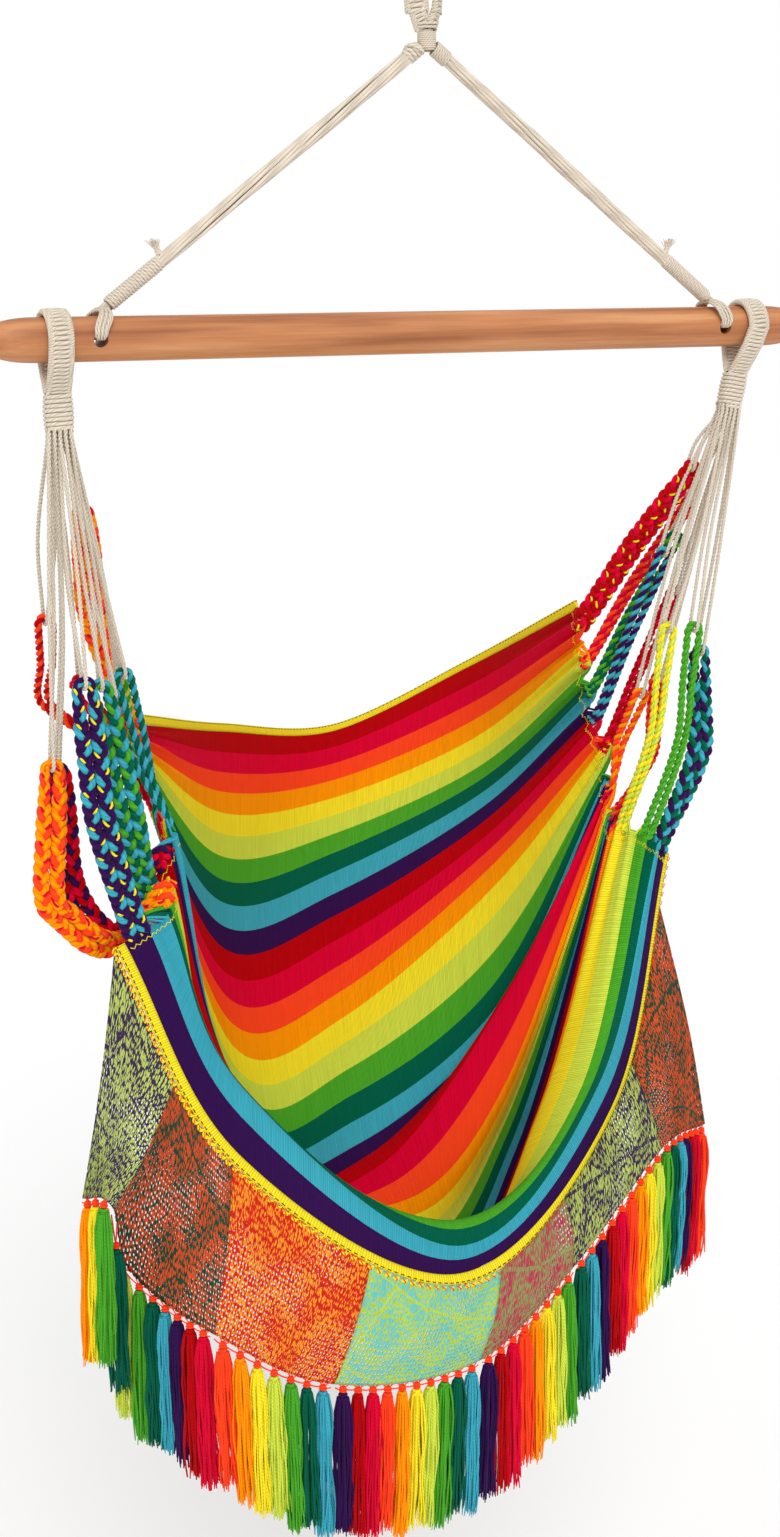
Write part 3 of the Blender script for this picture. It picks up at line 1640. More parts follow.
    def build_tie(self, side: Side, top: Vector, along: Vector) -> None:
        """Build the frayed end of the cord that ties the whipping off.

        Args:
            side: Which side.
            top: The whipping's upper end.
            along: The bundle's direction.
        """
        chance = random.Random(5 + side.value)
        slope = 0.35
        lifted = Vector((-along.z * side.value, 0, along.x * side.value))
        foot = top - along * (TUFT_RADIUS + CLEARANCE) + lifted * (BUNDLE_RADIUS + CLEARANCE)
        lean = Vector((math.sin(side.value * slope), 0, math.cos(slope)))
        tie = Strands(f"{side.label}_tie_end", [self.wardrobe.cream_fine])
        knot = hoop(foot - lifted * 1.5, radius=2.2, count=14, level=1.0)
        tie.lay([knot], radius=1.3, closed=True)
        stub = [foot - lean * 2, foot + lean * 4, foot + lean * (TUFT_LENGTH * 0.55)]
        stub_frames = Frames(smooth_route(stub, step=1.0), Y_AXIS)
        for ply in twisted(stub_frames, plies=2, offset=1.5, pitch=6.0):
            tie.lay([ply], radius=1.75)
        for _ in range(40):
            spread = Vector((chance.gauss(0, 1), chance.gauss(0, 1), 0))
            reach = TUFT_LENGTH * chance.uniform(0.7, 0.95)
            fibre = [
                foot + spread * (1.3 + 3.2 * max(share - 0.45, 0)) + lean * (reach * share)
                for share in (0.4, 0.55, 0.7, 0.85, 1.0)
            ]
            tie.lay([fibre], radius=0.4)
        tie.piece("suspension", f"{side.label}_tie_tuft")

    def build_bar_eye(self, side: Side, whipping_foot: Vector, along: Vector) -> None:
        """Lay the strands that pass through the bar's hole, from the whipping and back.

        Args:
            side: Which side.
            whipping_foot: The whipping's lower end.
            along: The bundle's direction.
        """
        sign = side.value
        hole_x = sign * HOLE_OFFSET
        face = BAR_RADIUS + STRAP_THICKNESS / 2 + 2 * CLEARANCE
        bend = STRAP_THICKNESS
        seat = -BAR_DROP + STRAP_SEAT
        top = -BAR_DROP + BAR_RADIUS
        head = whipping_foot + along * STRAP_THICKNESS
        front = [
            whipping_foot - along * 5,
            Vector((head.x, 0, head.z)),
            Vector((head.x + sign * 3 * CLEARANCE, -BAR_RADIUS / 2, head.z - bend / 3)),
            Vector((hole_x - sign * bend, -BAR_RADIUS + CLEARANCE, top + CLEARANCE)),
            Vector((hole_x - sign * CLEARANCE, -face, -BAR_DROP + BAR_RADIUS / 2)),
            Vector((hole_x, -face, seat + bend)),
            Vector((hole_x, -face + bend * 0.3, seat + bend * 0.3)),
            Vector((hole_x, -face + bend, seat)),
            Vector((hole_x, 0, seat)),
        ]
        behind = [Vector((point.x, -point.y, point.z)) for point in front[-2::-1]]
        route = smooth_route(front + behind, step=2.4)
        frames = Frames(route, X_AXIS)
        total = length_of(route)
        LOG.info("%s bar eye: %.0f mm long", side.label, total)
        eye = Strands(f"{side.label}_bar_eye_strands", [self.wardrobe.cream])
        middle = 3
        for strand in range(2 * middle + 1):
            def beside(run: float, strand: int = strand) -> Offsets:
                """The strand's offsets: spread on the bar's faces, gathered in its hole."""
                gather = abs(math.sin(TURN * (run / total))) ** 1.3
                lane = (strand - middle) / middle
                return lane * (2.0 + 3.6 * gather), (1.1 if strand % 2 else -0.7)

            eye.lay([frames.wound(beside)], radius=1.55)
        eye.piece("suspension", f"{side.label}_bar_eye")


# ------------------------------------------------------------------------------
# The spreader bar.
# ------------------------------------------------------------------------------


@dataclass
class SpreaderBar:
    """The turned hardwood bar with its two cross holes.

    Attributes:
        wardrobe: The materials.
        sides: Faces round the bar.
        edge: Radius of the rounding between its ends and its sides.
    """

    wardrobe: Wardrobe
    sides: int = 72
    edge: float = 1.6

    def build(self) -> None:
        """Spin the bar's profile and drill its holes."""
        rod = linked("rod", self.rod())
        drill = linked("drill", self.drills())
        cut = rod.modifiers.new("holes", "BOOLEAN")
        cut.operation = "DIFFERENCE"
        cut.solver = "EXACT"
        cut.object = drill
        bpy.context.view_layer.update()
        graph = bpy.context.evaluated_depsgraph_get()
        mesh = bpy.data.meshes.new_from_object(rod.evaluated_get(graph))
        for extra in (rod, drill):
            bpy.data.objects.remove(extra)
        mesh.materials.clear()
        finish_piece(
            mesh, "spreader_bar_turned", "suspension", [self.wardrobe.wood], "oiled_hardwood",
            ["spreader_bar"],
        )
        mesh.set_sharp_from_angle(angle=math.radians(40))

    def rod(self) -> bpy.types.Mesh:
        """The bar's mesh before its holes: tapered ends with rounded edges.

        Returns:
            The mesh.
        """
        half = BAR_LENGTH / 2
        chain = []
        for i in range(4):
            angle = math.pi / 2 * i / 4
            back = self.edge * (1 - math.cos(angle))
            chain.append((half - back, BAR_TIP_RADIUS - self.edge + self.edge * math.sin(angle)))
        for share in in_steps(12)[1:]:
            swell = (BAR_RADIUS - BAR_TIP_RADIUS) * math.sin(share * math.pi / 2)
            chain.append((half - BAR_TAPER * share ** 1.5, BAR_TIP_RADIUS + swell))
        profile = [(-half, 0.0), *((-x, radius) for x, radius in chain), *chain[::-1], (half, 0.0)]
        shape = bmesh.new()
        verts = [shape.verts.new((x, radius, 0)) for x, radius in profile]
        edges = [shape.edges.new(pair) for pair in zip(verts, verts[1:])]
        bmesh.ops.spin(
            shape, geom=verts + edges, cent=(0, 0, 0), axis=(1, 0, 0), angle=TURN,
            steps=self.sides, use_merge=True,
        )
        bmesh.ops.remove_doubles(shape, verts=shape.verts, dist=0.01)
        bmesh.ops.translate(shape, verts=shape.verts, vec=(0, 0, -BAR_DROP))
        return mesh_from(shape, "rod")

    @staticmethod
    def drills() -> bpy.types.Mesh:
        """The mesh of the two drills.

        Returns:
            The mesh.
        """
        shape = bmesh.new()
        upright = Matrix.Rotation(math.pi / 2, 3, "X")
        for side in Side:
            made = bmesh.ops.create_cone(
                shape, cap_ends=True, segments=40, radius1=HOLE_RADIUS, radius2=HOLE_RADIUS,
                depth=4 * BAR_RADIUS,
            )["verts"]
            bmesh.ops.rotate(shape, verts=made, cent=(0, 0, 0), matrix=upright)
            hole = (side.value * HOLE_OFFSET, 0, -BAR_DROP)
            bmesh.ops.translate(shape, verts=made, vec=hole)
        return mesh_from(shape, "drill")


# ------------------------------------------------------------------------------
# The slings: loops over the bar, cords and braids.
# ------------------------------------------------------------------------------


@dataclass(frozen=True)
class Braid:
    """One braid of the cloth's warp ends, its places given as shares of the seat's box.

    Attributes:
        dyes: The dyes of its strands: three for a flat plait, two for a rope.
        colour: The name of the record's braid colour.
        stripe: The stripe that it leaves.
        top: Where its loop hangs.
        bow: Where its middle bows to.
        accent: The dye of a thin yarn that runs with a plait's strands, if it has one.
        sags: Places that its legs sag through between the bow and the cloth.
    """

    dyes: tuple[Dye, ...]
    colour: str
    stripe: float
    top: Place
    bow: Place
    accent: Dye | None = None
    sags: tuple[Place, ...] = ()

    @property
    def plaited(self) -> bool:
        """Whether it is a flat plait."""
        return len(self.dyes) == 3


FLAME_PLAIT = (Dye.ORANGE, Dye.CORAL, Dye.ORANGE)
LEFT_BRAIDS = (
    Braid(FLAME_PLAIT, "orange", 1, (-0.87, 0.1, 0.172), (-0.805, 0.232, 0.288), Dye.CRIMSON),
    Braid((Dye.RED, Dye.CORAL), "coral", 4.3, (-0.955, 0.16, 0.283), (-0.92, 0.28, 0.38)),
    Braid((Dye.LIME, Dye.GREEN), "green", 10.2, (-0.785, 0.12, 0.35), (-0.745, 0.176, 0.415)),
    Braid((Dye.CRIMSON, Dye.RED), "crimson", 14.9, (-0.882, 0.13, 0.345), (-0.765, 0.14, 0.43)),
    Braid((Dye.TEAL, Dye.TURQUOISE), "teal", 19.5, (-0.79, 0.07, 0.335), (-0.735, 0.1, 0.415)),
    Braid((Dye.TURQUOISE, Dye.TEAL), "turquoise", 26, (-0.83, 0.034, 0.352), (-0.765, 0.03, 0.425)),
    Braid(
        (Dye.CRIMSON, Dye.PURPLE, Dye.RED), "red", 30.3, (-0.975, 0.05, 0.425),
        (-0.965, 0.03, 0.53), None, ((-0.92, 0.02, 0.575), (-0.86, 0.01, 0.595)),
    ),
    Braid(
        FLAME_PLAIT, "orange", 35.8, (-1.03, -0.08, 0.403), (-1.055, -0.1, 0.53), Dye.CRIMSON,
        ((-1.008, -0.07, 0.555), (-0.941, -0.06, 0.583), (-0.865, -0.03, 0.595)),
    ),
    Braid(
        (Dye.TEAL, Dye.GREEN, Dye.TURQUOISE), "green", 33.3, (-0.89, -0.044, 0.333),
        (-0.835, -0.06, 0.455),
    ),
    Braid(
        (Dye.PURPLE, Dye.TURQUOISE, Dye.PURPLE), "purple", 39.4, (-0.955, -0.114, 0.322),
        (-0.935, -0.14, 0.45), Dye.YELLOW,
    ),
)
RIGHT_BRAIDS = (
    Braid(
        (Dye.RED, Dye.CRIMSON, Dye.RED), "red", 1, (0.83, 0.04, 0.155), (0.715, 0.12, 0.24),
        Dye.YELLOW,
    ),
    Braid((Dye.CORAL, Dye.CRIMSON), "coral", 5, (0.895, 0.13, 0.2), (0.75, 0.17, 0.29)),
    Braid((Dye.GREEN, Dye.TEAL), "green", 7.6, (0.835, 0.104, 0.235), (0.72, 0.14, 0.325)),
    Braid((Dye.PURPLE, Dye.TURQUOISE), "purple", 10.2, (0.745, 0.03, 0.247), (0.68, 0.09, 0.345)),
    Braid((Dye.RED, Dye.CRIMSON), "red", 13.5, (0.86, 0.13, 0.3), (0.74, 0.13, 0.395)),
    Braid((Dye.CORAL, Dye.ORANGE), "coral", 20, (0.66, 0, 0.4), (0.64, 0.056, 0.46)),
    Braid((Dye.CRIMSON, Dye.CORAL), "crimson", 27.5, (0.75, 0.044, 0.39), (0.69, -0.01, 0.47)),
    Braid((Dye.YELLOW, Dye.LIME), "lime", 34.6, (0.665, -0.1, 0.318), (0.64, -0.09, 0.43)),
    Braid((Dye.GREEN, Dye.GREEN), "green", 36.8, (0.755, -0.09, 0.321), (0.71, -0.11, 0.44)),
    Braid(
        (Dye.TURQUOISE, Dye.TEAL, Dye.PURPLE), "turquoise", 38.9, (0.82, -0.036, 0.354),
        (0.79, -0.084, 0.46),
    ),
)


@dataclass
class Sling:
    """One end's loop, neck, cords and braids.

    Attributes:
        wardrobe: The materials.
        side: Which end.
        braids: Its braids, from the back edge to the front.
        lean: Inward lean of the neck's foot.
        loop_pitch: Distance between the loop's stitches.
        rope_pitch: Length of a rope braid's turn.
        plait_pitch: Length of a plait's full course.
        crown: How far past a braid's loop its plait starts to widen to its full size.
        widening: Over what length it widens.
    """

    wardrobe: Wardrobe
    side: Side
    braids: tuple[Braid, ...]
    lean: float
    loop_pitch: float = 4.2
    rope_pitch: float = 16.0
    plait_pitch: float = 33.0
    crown: float = 14.0
    widening: float = 40.0

    @property
    def x(self) -> float:
        """Where the loop lies along the bar."""
        return self.side.value * SLING_OFFSET

    def build(self) -> None:
        """Build every piece of this end."""
        self.build_loop()
        self.build_neck()
        self.build_cords()
        for number, braid in enumerate(self.braids, 1):
            self.build_braid(number, braid)

    def build_loop(self) -> None:
        """Build the dressed band of the loop that lies over the bar."""
        radius = BAR_RADIUS + SLING_PLAY + SLING_THICKNESS / 2
        leg_y = SLING_THICKNESS / 2 + CLEARANCE
        half = [
            (-leg_y, SLING_DROP), (-leg_y, SLING_DROP - 2),
            (-(leg_y * 2 + radius) / 3, SLING_DROP * 0.72),
            (-(leg_y + radius * 3) / 4, SLING_DROP * 0.4),
        ]
        over = [(-radius * math.cos(a), -radius * math.sin(a)) for a in half_turn(20)]
        points = []
        for y, drop in [*half, *over, *((-y, drop) for y, drop in reversed(half))]:
            shift = self.lean * max(drop / NECK_DROP, 0)
            points.append(Vector((self.x + shift, y, -BAR_DROP - drop)))
        frames = Frames(even_route(points, step=2.0), X_AXIS)
        LOG.info("%s loop: %.0f mm long", self.side.label, length_of(frames.route))
        loop = cream_work(self.wardrobe, f"{self.side.label}_served_loop")
        dress_band(loop, frames, SLING_WIDTH * 0.4, SLING_THICKNESS / 2, self.loop_pitch)
        loop.piece("sling", f"{self.side.label}_sling_loop")

    def build_neck(self) -> None:
        """Build the sewn neck: stitched turns round the gathered legs."""
        top, foot = SLING_DROP + 0.6, NECK_DROP
        count = 14
        points = []
        for i in range(count + 1):
            drop = top + (foot - top) * i / count
            points.append(Vector((self.x + self.lean * drop / NECK_DROP, 0, -BAR_DROP - drop)))
        frames = Frames(points, X_AXIS)
        neck = cream_work(self.wardrobe, f"{self.side.label}_sewn_neck")
        half_width, half_depth = SLING_WIDTH / 2, NECK_DEPTH / 2

        def swell(share: float) -> float:
            """The neck's extra width at a share of its height."""
            return 1 + 0.1 * math.sin(math.pi * share)

        def ring(share: float) -> list[Offsets]:
            """The core's outline."""
            return band_section(((half_width - 2.2) * swell(share), half_depth - 2.2))

        def outline(share: float) -> Offsets:
            """The stitch's path round the neck."""
            return squared_off(TURN * share, (half_width - 2.0, half_depth - 2.0), (0.5, 0.6))

        neck.add(sweep(frames, ring), 1)
        stitch = wrapping(
            frames, outline, self.loop_pitch, steps=26, grow=lambda share: (swell(share), 1.0),
        )
        neck.lay([stitch], radius=2.05)
        neck.piece("sling", f"{self.side.label}_sling_neck")

    def build_cords(self) -> None:
        """Lay the cream cords from the neck through the braids' loops and back."""
        root_z = -BAR_DROP - NECK_DROP - CLEARANCE - 5
        chance = random.Random(23 + self.side.value)
        half = len(self.braids) // 2
        groups = (("back", 1, 0.75, self.braids[:half]), ("front", -1, 0.25, self.braids[half:]))
        for place, facing, shift, group in groups:
            y = facing * (NECK_DEPTH / 2 + CLEARANCE) / 2
            cords = Strands(f"{self.side.label}_{place}_hairpins", [self.wardrobe.cream])
            for i, braid in enumerate(sorted(group, key=lambda braid: braid.top[0])):
                slot = (i + shift) / len(group) - 0.5
                root = Vector((self.x + self.lean + slot * SLING_WIDTH, y, root_z))
                route = self.hairpin(root, seat_place(braid.top), chance)
                LOG.info(
                    "%s %s cord %d: %.0f mm long", self.side.label, place, i + 1, length_of(route),
                )
                frames = Frames(route, X_AXIS)
                for ply in twisted(frames, plies=2, offset=1.05, pitch=8.5, start=i * 0.37):
                    cords.lay([ply], radius=1.3)
            cords.piece("sling", f"{self.side.label}_{place}_cords")

    @staticmethod
    def hairpin(root: Vector, top: Vector, chance: random.Random) -> list[Vector]:
        """The route of one cord down to a braid's loop and back up.

        Args:
            root: Where it leaves the neck.
            top: Where the braid's loop is centred.
            chance: The seeded randomness of its slack.

        Returns:
            The route in even steps.
        """
        centre = top + Z_AXIS * LINK_RADIUS
        turn = [
            centre + Y_AXIS * (-LINK_RADIUS * math.cos(a)) - Z_AXIS * (LINK_RADIUS * math.sin(a))
            for a in half_turn(10)
        ]
        spread = CORD_RADIUS + CLEARANCE
        down_top, up_top = root - Y_AXIS * spread, root + Y_AXIS * spread
        lift = Z_AXIS * 9
        slack = [Vector((chance.uniform(-7, 7), chance.uniform(-3, 3), 0)) for _ in range(2)]
        down = [down_top + lift, down_top, down_top.lerp(turn[0], 0.55) + slack[0]]
        up = [up_top.lerp(turn[-1], 0.55) + slack[1], up_top, up_top + lift]
        return smooth_route(down + turn + up, step=1.7)

    def fullness(self, past: float) -> float:
        """How near a plait is to its full size, from how far it is past the loop's crown."""
        return clamp((abs(past) - self.crown) / self.widening)

    def plait_offsets(self, run: float, turn: float, past: float, reach: Offsets) -> Offsets:
        """The offsets of a plait's strand, whose chevrons point down both legs.

        Args:
            run: The run along the braid.
            turn: Where in its course the strand starts, in turns.
            past: How far the run is past the loop's crown, below zero before it.
            reach: How far the strand swings in depth and to the side.

        Returns:
            The offsets in depth and to the side.
        """
        phase = TURN * (run / self.plait_pitch + turn)
        facing = clamp(past / 12, -1, 1)
        slim = 0.55 + 0.45 * self.fullness(past)
        return reach[0] * facing * math.sin(2 * phase), reach[1] * slim * math.sin(phase)

    def braid_route(self, braid: Braid) -> list[Vector]:
        """The route of a braid: from the cloth up one leg, over its cord and down the other.

        Args:
            braid: Which braid.

        Returns:
            The route in even steps.
        """
        top, bow = seat_place(braid.top), seat_place(braid.bow)
        across = 0.0 if self.side is Side.LEFT else 1.0
        close = (PLAIT_HALF_WIDTH if braid.plaited else BRAID_RADIUS) + CLEARANCE
        reach = STRIPES * 0.002
        high = SURFACE.point(across, braid.stripe + reach)
        stretch = (high - SURFACE.point(across, braid.stripe - reach)).length
        apart = close * 0.9 * 2 * reach / stretch
        middles = [bow - X_AXIS * close, bow + X_AXIS * close]
        feet = [braid.stripe - apart, braid.stripe + apart]

        def spread(places: Sequence[float]) -> float:
            """How far the feet lie from the legs' middles."""
            return sum((SURFACE.point(across, p) - m).length for p, m in zip(places, middles))

        if spread(feet[::-1]) < spread(feet):
            feet.reverse()
        turn = [
            top - X_AXIS * (LINK_RADIUS * math.cos(a)) + Z_AXIS * (LINK_RADIUS * math.sin(a))
            for a in half_turn(10)
        ]
        legs = []
        for index, crown_end in enumerate((turn[0], turn[-1])):
            outwards = SURFACE.outwards(across, feet[index])
            foot = SURFACE.point(across, feet[index])
            beside_leg = Vector((0.7, 0, 0.7)) * (close if index else -close)
            sags = [seat_place(place) + beside_leg for place in reversed(braid.sags)]
            middle = middles[index]
            ends = [foot - outwards * 3, foot + outwards * 8]
            legs.append([*ends, *sags, middle, crown_end.lerp(middle, 0.45)])
        return smooth_route(legs[0] + turn + legs[1][::-1], step=2.1)

    def build_braid(self, number: int, braid: Braid) -> None:
        """Lay one braid: its rope's or its plait's strands, and the accent yarn.

        Args:
            number: Its place from the back edge.
            braid: Which braid.
        """
        route = self.braid_route(braid)
        frames = Frames(route, Y_AXIS)
        runs = runs_along(route)
        crown = runs[-1] / 2
        radii = [0.72 + 0.28 * self.fullness(run - crown) for run in runs]
        dyes = list(dict.fromkeys([*braid.dyes, braid.accent or braid.dyes[0]]))
        materials = [self.wardrobe.dyed[dye] for dye in dyes]
        work = Strands(f"{self.side.label}_warp_braid_{number}", materials)

        def plait(turn: float, reach: Offsets) -> list[Vector]:
            """A line that runs with the plait's strands."""
            return frames.wound(lambda run: self.plait_offsets(run, turn, run - crown, reach))

        if braid.plaited:
            for strand, dye in enumerate(braid.dyes):
                line = plait(turn=strand / 3, reach=(2.7, 4.9))
                work.lay([line], radius=3.5, material=dyes.index(dye), radii=radii)
                if braid.accent and strand == 0:
                    line = plait(turn=0.09, reach=(5.4, 5.6))
                    work.lay([line], radius=1.3, material=dyes.index(braid.accent))
        else:
            plies = twisted(frames, plies=2, offset=2.0, pitch=self.rope_pitch)
            for dye, ply in zip(braid.dyes, plies):
                work.lay([ply], radius=2.45, material=dyes.index(dye))
        LOG.info("%s braid %d: %.0f mm long", self.side.label, number, runs[-1])
        node = f"{self.side.label}_braid_{number}"
        work.piece("sling", node, slot=f"braid_{braid.colour}")


# ------------------------------------------------------------------------------
# The seat cloth and its edges.
# ------------------------------------------------------------------------------


@dataclass
class Seat:
    """The striped cloth, its selvages, the stitching and the warp ends.

    Attributes:
        wardrobe: The materials.
        columns: Steps across the chair.
        rows: Steps from the back edge to the front.
        thickness: The cloth's thickness in millimetres.
        picots: Scallops along the front edge.
        flat: The cloth's flat size in metres.
    """

    wardrobe: Wardrobe
    columns: int = 84
    rows: int = 320
    thickness: float = 1.8
    picots: int = 116
    flat: Offsets = (FLAT_WARP * MM, FLAT_WEFT * MM)

    def build(self) -> None:
        """Build the cloth and what is sewn on it."""
        cloth = self.build_cloth()
        back = self.build_selvage(0, "back")
        front = self.build_selvage(STRIPES, "front")
        stitching = self.build_stitching()
        picots = self.build_picots()
        ends = [self.build_warp_ends(Side.LEFT, LEFT_BRAIDS)]
        ends.append(self.build_warp_ends(Side.RIGHT, RIGHT_BRAIDS))

    def build_cloth(self) -> Object:
        """Lay the cloth over its surface and stand it off by its wrinkles.

        Returns:
            The cloth.
        """
        rows: dict[int, list[Vector]] = {}

        def place(across: float, down: float) -> Vector:
            """The cloth's point, its row worked out once."""
            key = round(down * 1e6)
            if key not in rows:
                rows[key] = SURFACE.row(down * STRIPES)
            return smooth_at(SECTION_PLACES, rows[key], across)

        shape = sheet(self.columns, self.rows, place, self.flat)
        layer = shape.loops.layers.uv.active
        places = {loop.vert: tuple(loop[layer].uv) for face in shape.faces for loop in face.loops}
        shape.normal_update()
        for vertex, (u, v) in places.items():
            height = self.wrinkle(u / self.flat[0], v / self.flat[1] * STRIPES)
            vertex.co += vertex.normal * height
        return finish_sheet(
            shape, "striped_cloth", self.wardrobe.cloth, "striped_cotton_cloth", "seat_cloth",
            self.thickness,
        )

    @staticmethod
    def wrinkle(across: float, stripe: float) -> float:
        """How far the cloth stands off its plain surface.

        Args:
            across: Share across the chair.
            stripe: Stripe from the back edge.

        Returns:
            The height in millimetres: gathers near both ends, slow waves between them.
        """
        inwards = min(across, 1 - across)
        gathers = max(1 - 4.6 * inwards, 0) ** 1.5
        hem = min(stripe, STRIPES - stripe, 1.5) / 1.5
        wander = 1.3 * math.sin(0.37 * stripe + 5 * across)
        phase = 4.4 * stripe + wander + 2.2 * math.sin(3.1 * inwards)
        fold = math.sin(phase) + 0.35 * math.sin(2.1 * phase + 1 + 9 * across)
        slow = math.sin(stripe * 0.9 + across * 7) * math.sin(across * math.pi)
        return hem * (3.4 * gathers * fold + 1.2 * slow)

    def eased(self, across: float, stripe: float, lift: float = 0.0) -> Vector:
        """A point of the wrinkled cloth, or above it.

        Args:
            across: Share across the chair.
            stripe: Stripe from the back edge.
            lift: Distance above the cloth.

        Returns:
            The point.
        """
        normal = SURFACE.tangents(across, stripe)[2]
        return SURFACE.point(across, stripe) + normal * (self.wrinkle(across, stripe) + lift)

    def build_selvage(self, stripe: float, name: str) -> Object:
        """Lay a selvage beside an edge of the cloth.

        Args:
            stripe: The edge's stripe.
            name: The edge's name.

        Returns:
            The selvage.
        """
        inner = 0.3

        def place(across: float, down: float) -> Vector:
            """The band's point."""
            return SURFACE.beside_edge(across, stripe, inner + (SELVAGE_WIDTH - inner) * down)

        shape = sheet(160, 3, place, (self.flat[0], SELVAGE_WIDTH * MM))
        return finish_sheet(
            shape, f"{name}_edge_band", self.wardrobe.selvage, "yellow_selvage",
            f"{name}_selvage", 2.4,
        )

    def build_stitching(self) -> Object:
        """Sew the yellow zigzag across both faces of the cloth's two ends.

        Returns:
            The stitching.
        """
        thread = Strands("heading_stitches", [self.wardrobe.loose[Dye.YELLOW]], roundness=0)
        stitches, inset = 330, 0.1
        for base in (0.0095, 0.9905):
            for face in (-1, 1):
                line = []
                for i in range(stitches + 1):
                    stripe = inset + (STRIPES - 2 * inset) * i / stitches
                    across = base + (0.0016 if i % 2 else -0.0016)
                    line.append(self.eased(across, stripe, face * 1.2))
                thread.lay([line], radius=0.55)
        return thread.piece("sling", slot="yellow_selvage")

    def build_picots(self) -> Object:
        """Sew the two scalloped yellow rows and the orange stitches that hold the lace.

        Returns:
            The stitching.
        """
        loose = self.wardrobe.loose
        edging = Strands("front_picots", [loose[Dye.YELLOW], loose[Dye.CORAL]], roundness=0)
        for layer, reach in ((0.5, 0.0), (1.0, 1.6)):
            scallop = []
            for i in range(self.picots):
                for share in in_steps(6)[:-1]:
                    across = (i + share) / self.picots
                    out = SELVAGE_WIDTH - 0.6 + reach + 3.6 * math.sin(math.pi * share) ** 0.8
                    lift = SURFACE.tangents(across, STRIPES)[2] * layer
                    scallop.append(SURFACE.beside_edge(across, STRIPES, out) + lift)
            edging.lay([scallop], radius=1.15)
        for i in range(self.picots):
            across = (i + 0.1) / self.picots
            first = SURFACE.beside_edge(across, STRIPES, SELVAGE_WIDTH + 1.6)
            last = SURFACE.beside_edge(min(across + 0.004, 1), STRIPES, SELVAGE_WIDTH + 5.4)
            lift = SURFACE.tangents(across, STRIPES)[2] * 1.3
            over = [first + lift, (first + last) / 2 + lift * 1.3, last + lift]
            edging.lay([[*over, last - lift, first - lift]], radius=0.55, material=1)
        return edging.piece("sling", slot="yellow_selvage")

    def build_warp_ends(self, side: Side, braids: Sequence[Braid]) -> Object:
        """Fan one end's warp yarns into the braids' feet.

        Args:
            side: Which end.
            braids: Its braids.

        Returns:
            The fans.
        """
        materials = [self.wardrobe.dyed[dye] for dye in Dye]
        fans = Strands(f"{side.label}_warp_fans", materials)
        across, edge = (0.0, 0.004) if side is Side.LEFT else (1.0, 0.996)
        stripes = [braid.stripe for braid in braids]
        between = [(a + b) / 2 for a, b in zip(stripes, stripes[1:])]
        bounds = [0.0, *between, float(STRIPES)]
        for stripe, low, high in zip(stripes, bounds, bounds[1:]):
            yarns = max(int((high - low) * 4), 6)
            forward = SURFACE.tangents(across, stripe)[1]
            outwards = SURFACE.outwards(across, stripe)
            foot = SURFACE.point(across, stripe) + outwards * 14
            for i in range(yarns):
                leaves = low + (high - low) * (i + 0.5) / yarns
                start = self.eased(edge, leaves)
                gathered = foot + forward * ((i / (yarns - 1) - 0.5) * 9)
                middle = start.lerp(gathered, 0.5) + outwards * 2.5
                yarn = smooth_route([start, middle, gathered], step=4.0)
                fans.lay([yarn], radius=1.35, material=int(leaves) % len(materials))
        return fans.piece("sling", slot="striped_cotton_cloth")


# ------------------------------------------------------------------------------
# The lace front and the fringe.
# ------------------------------------------------------------------------------


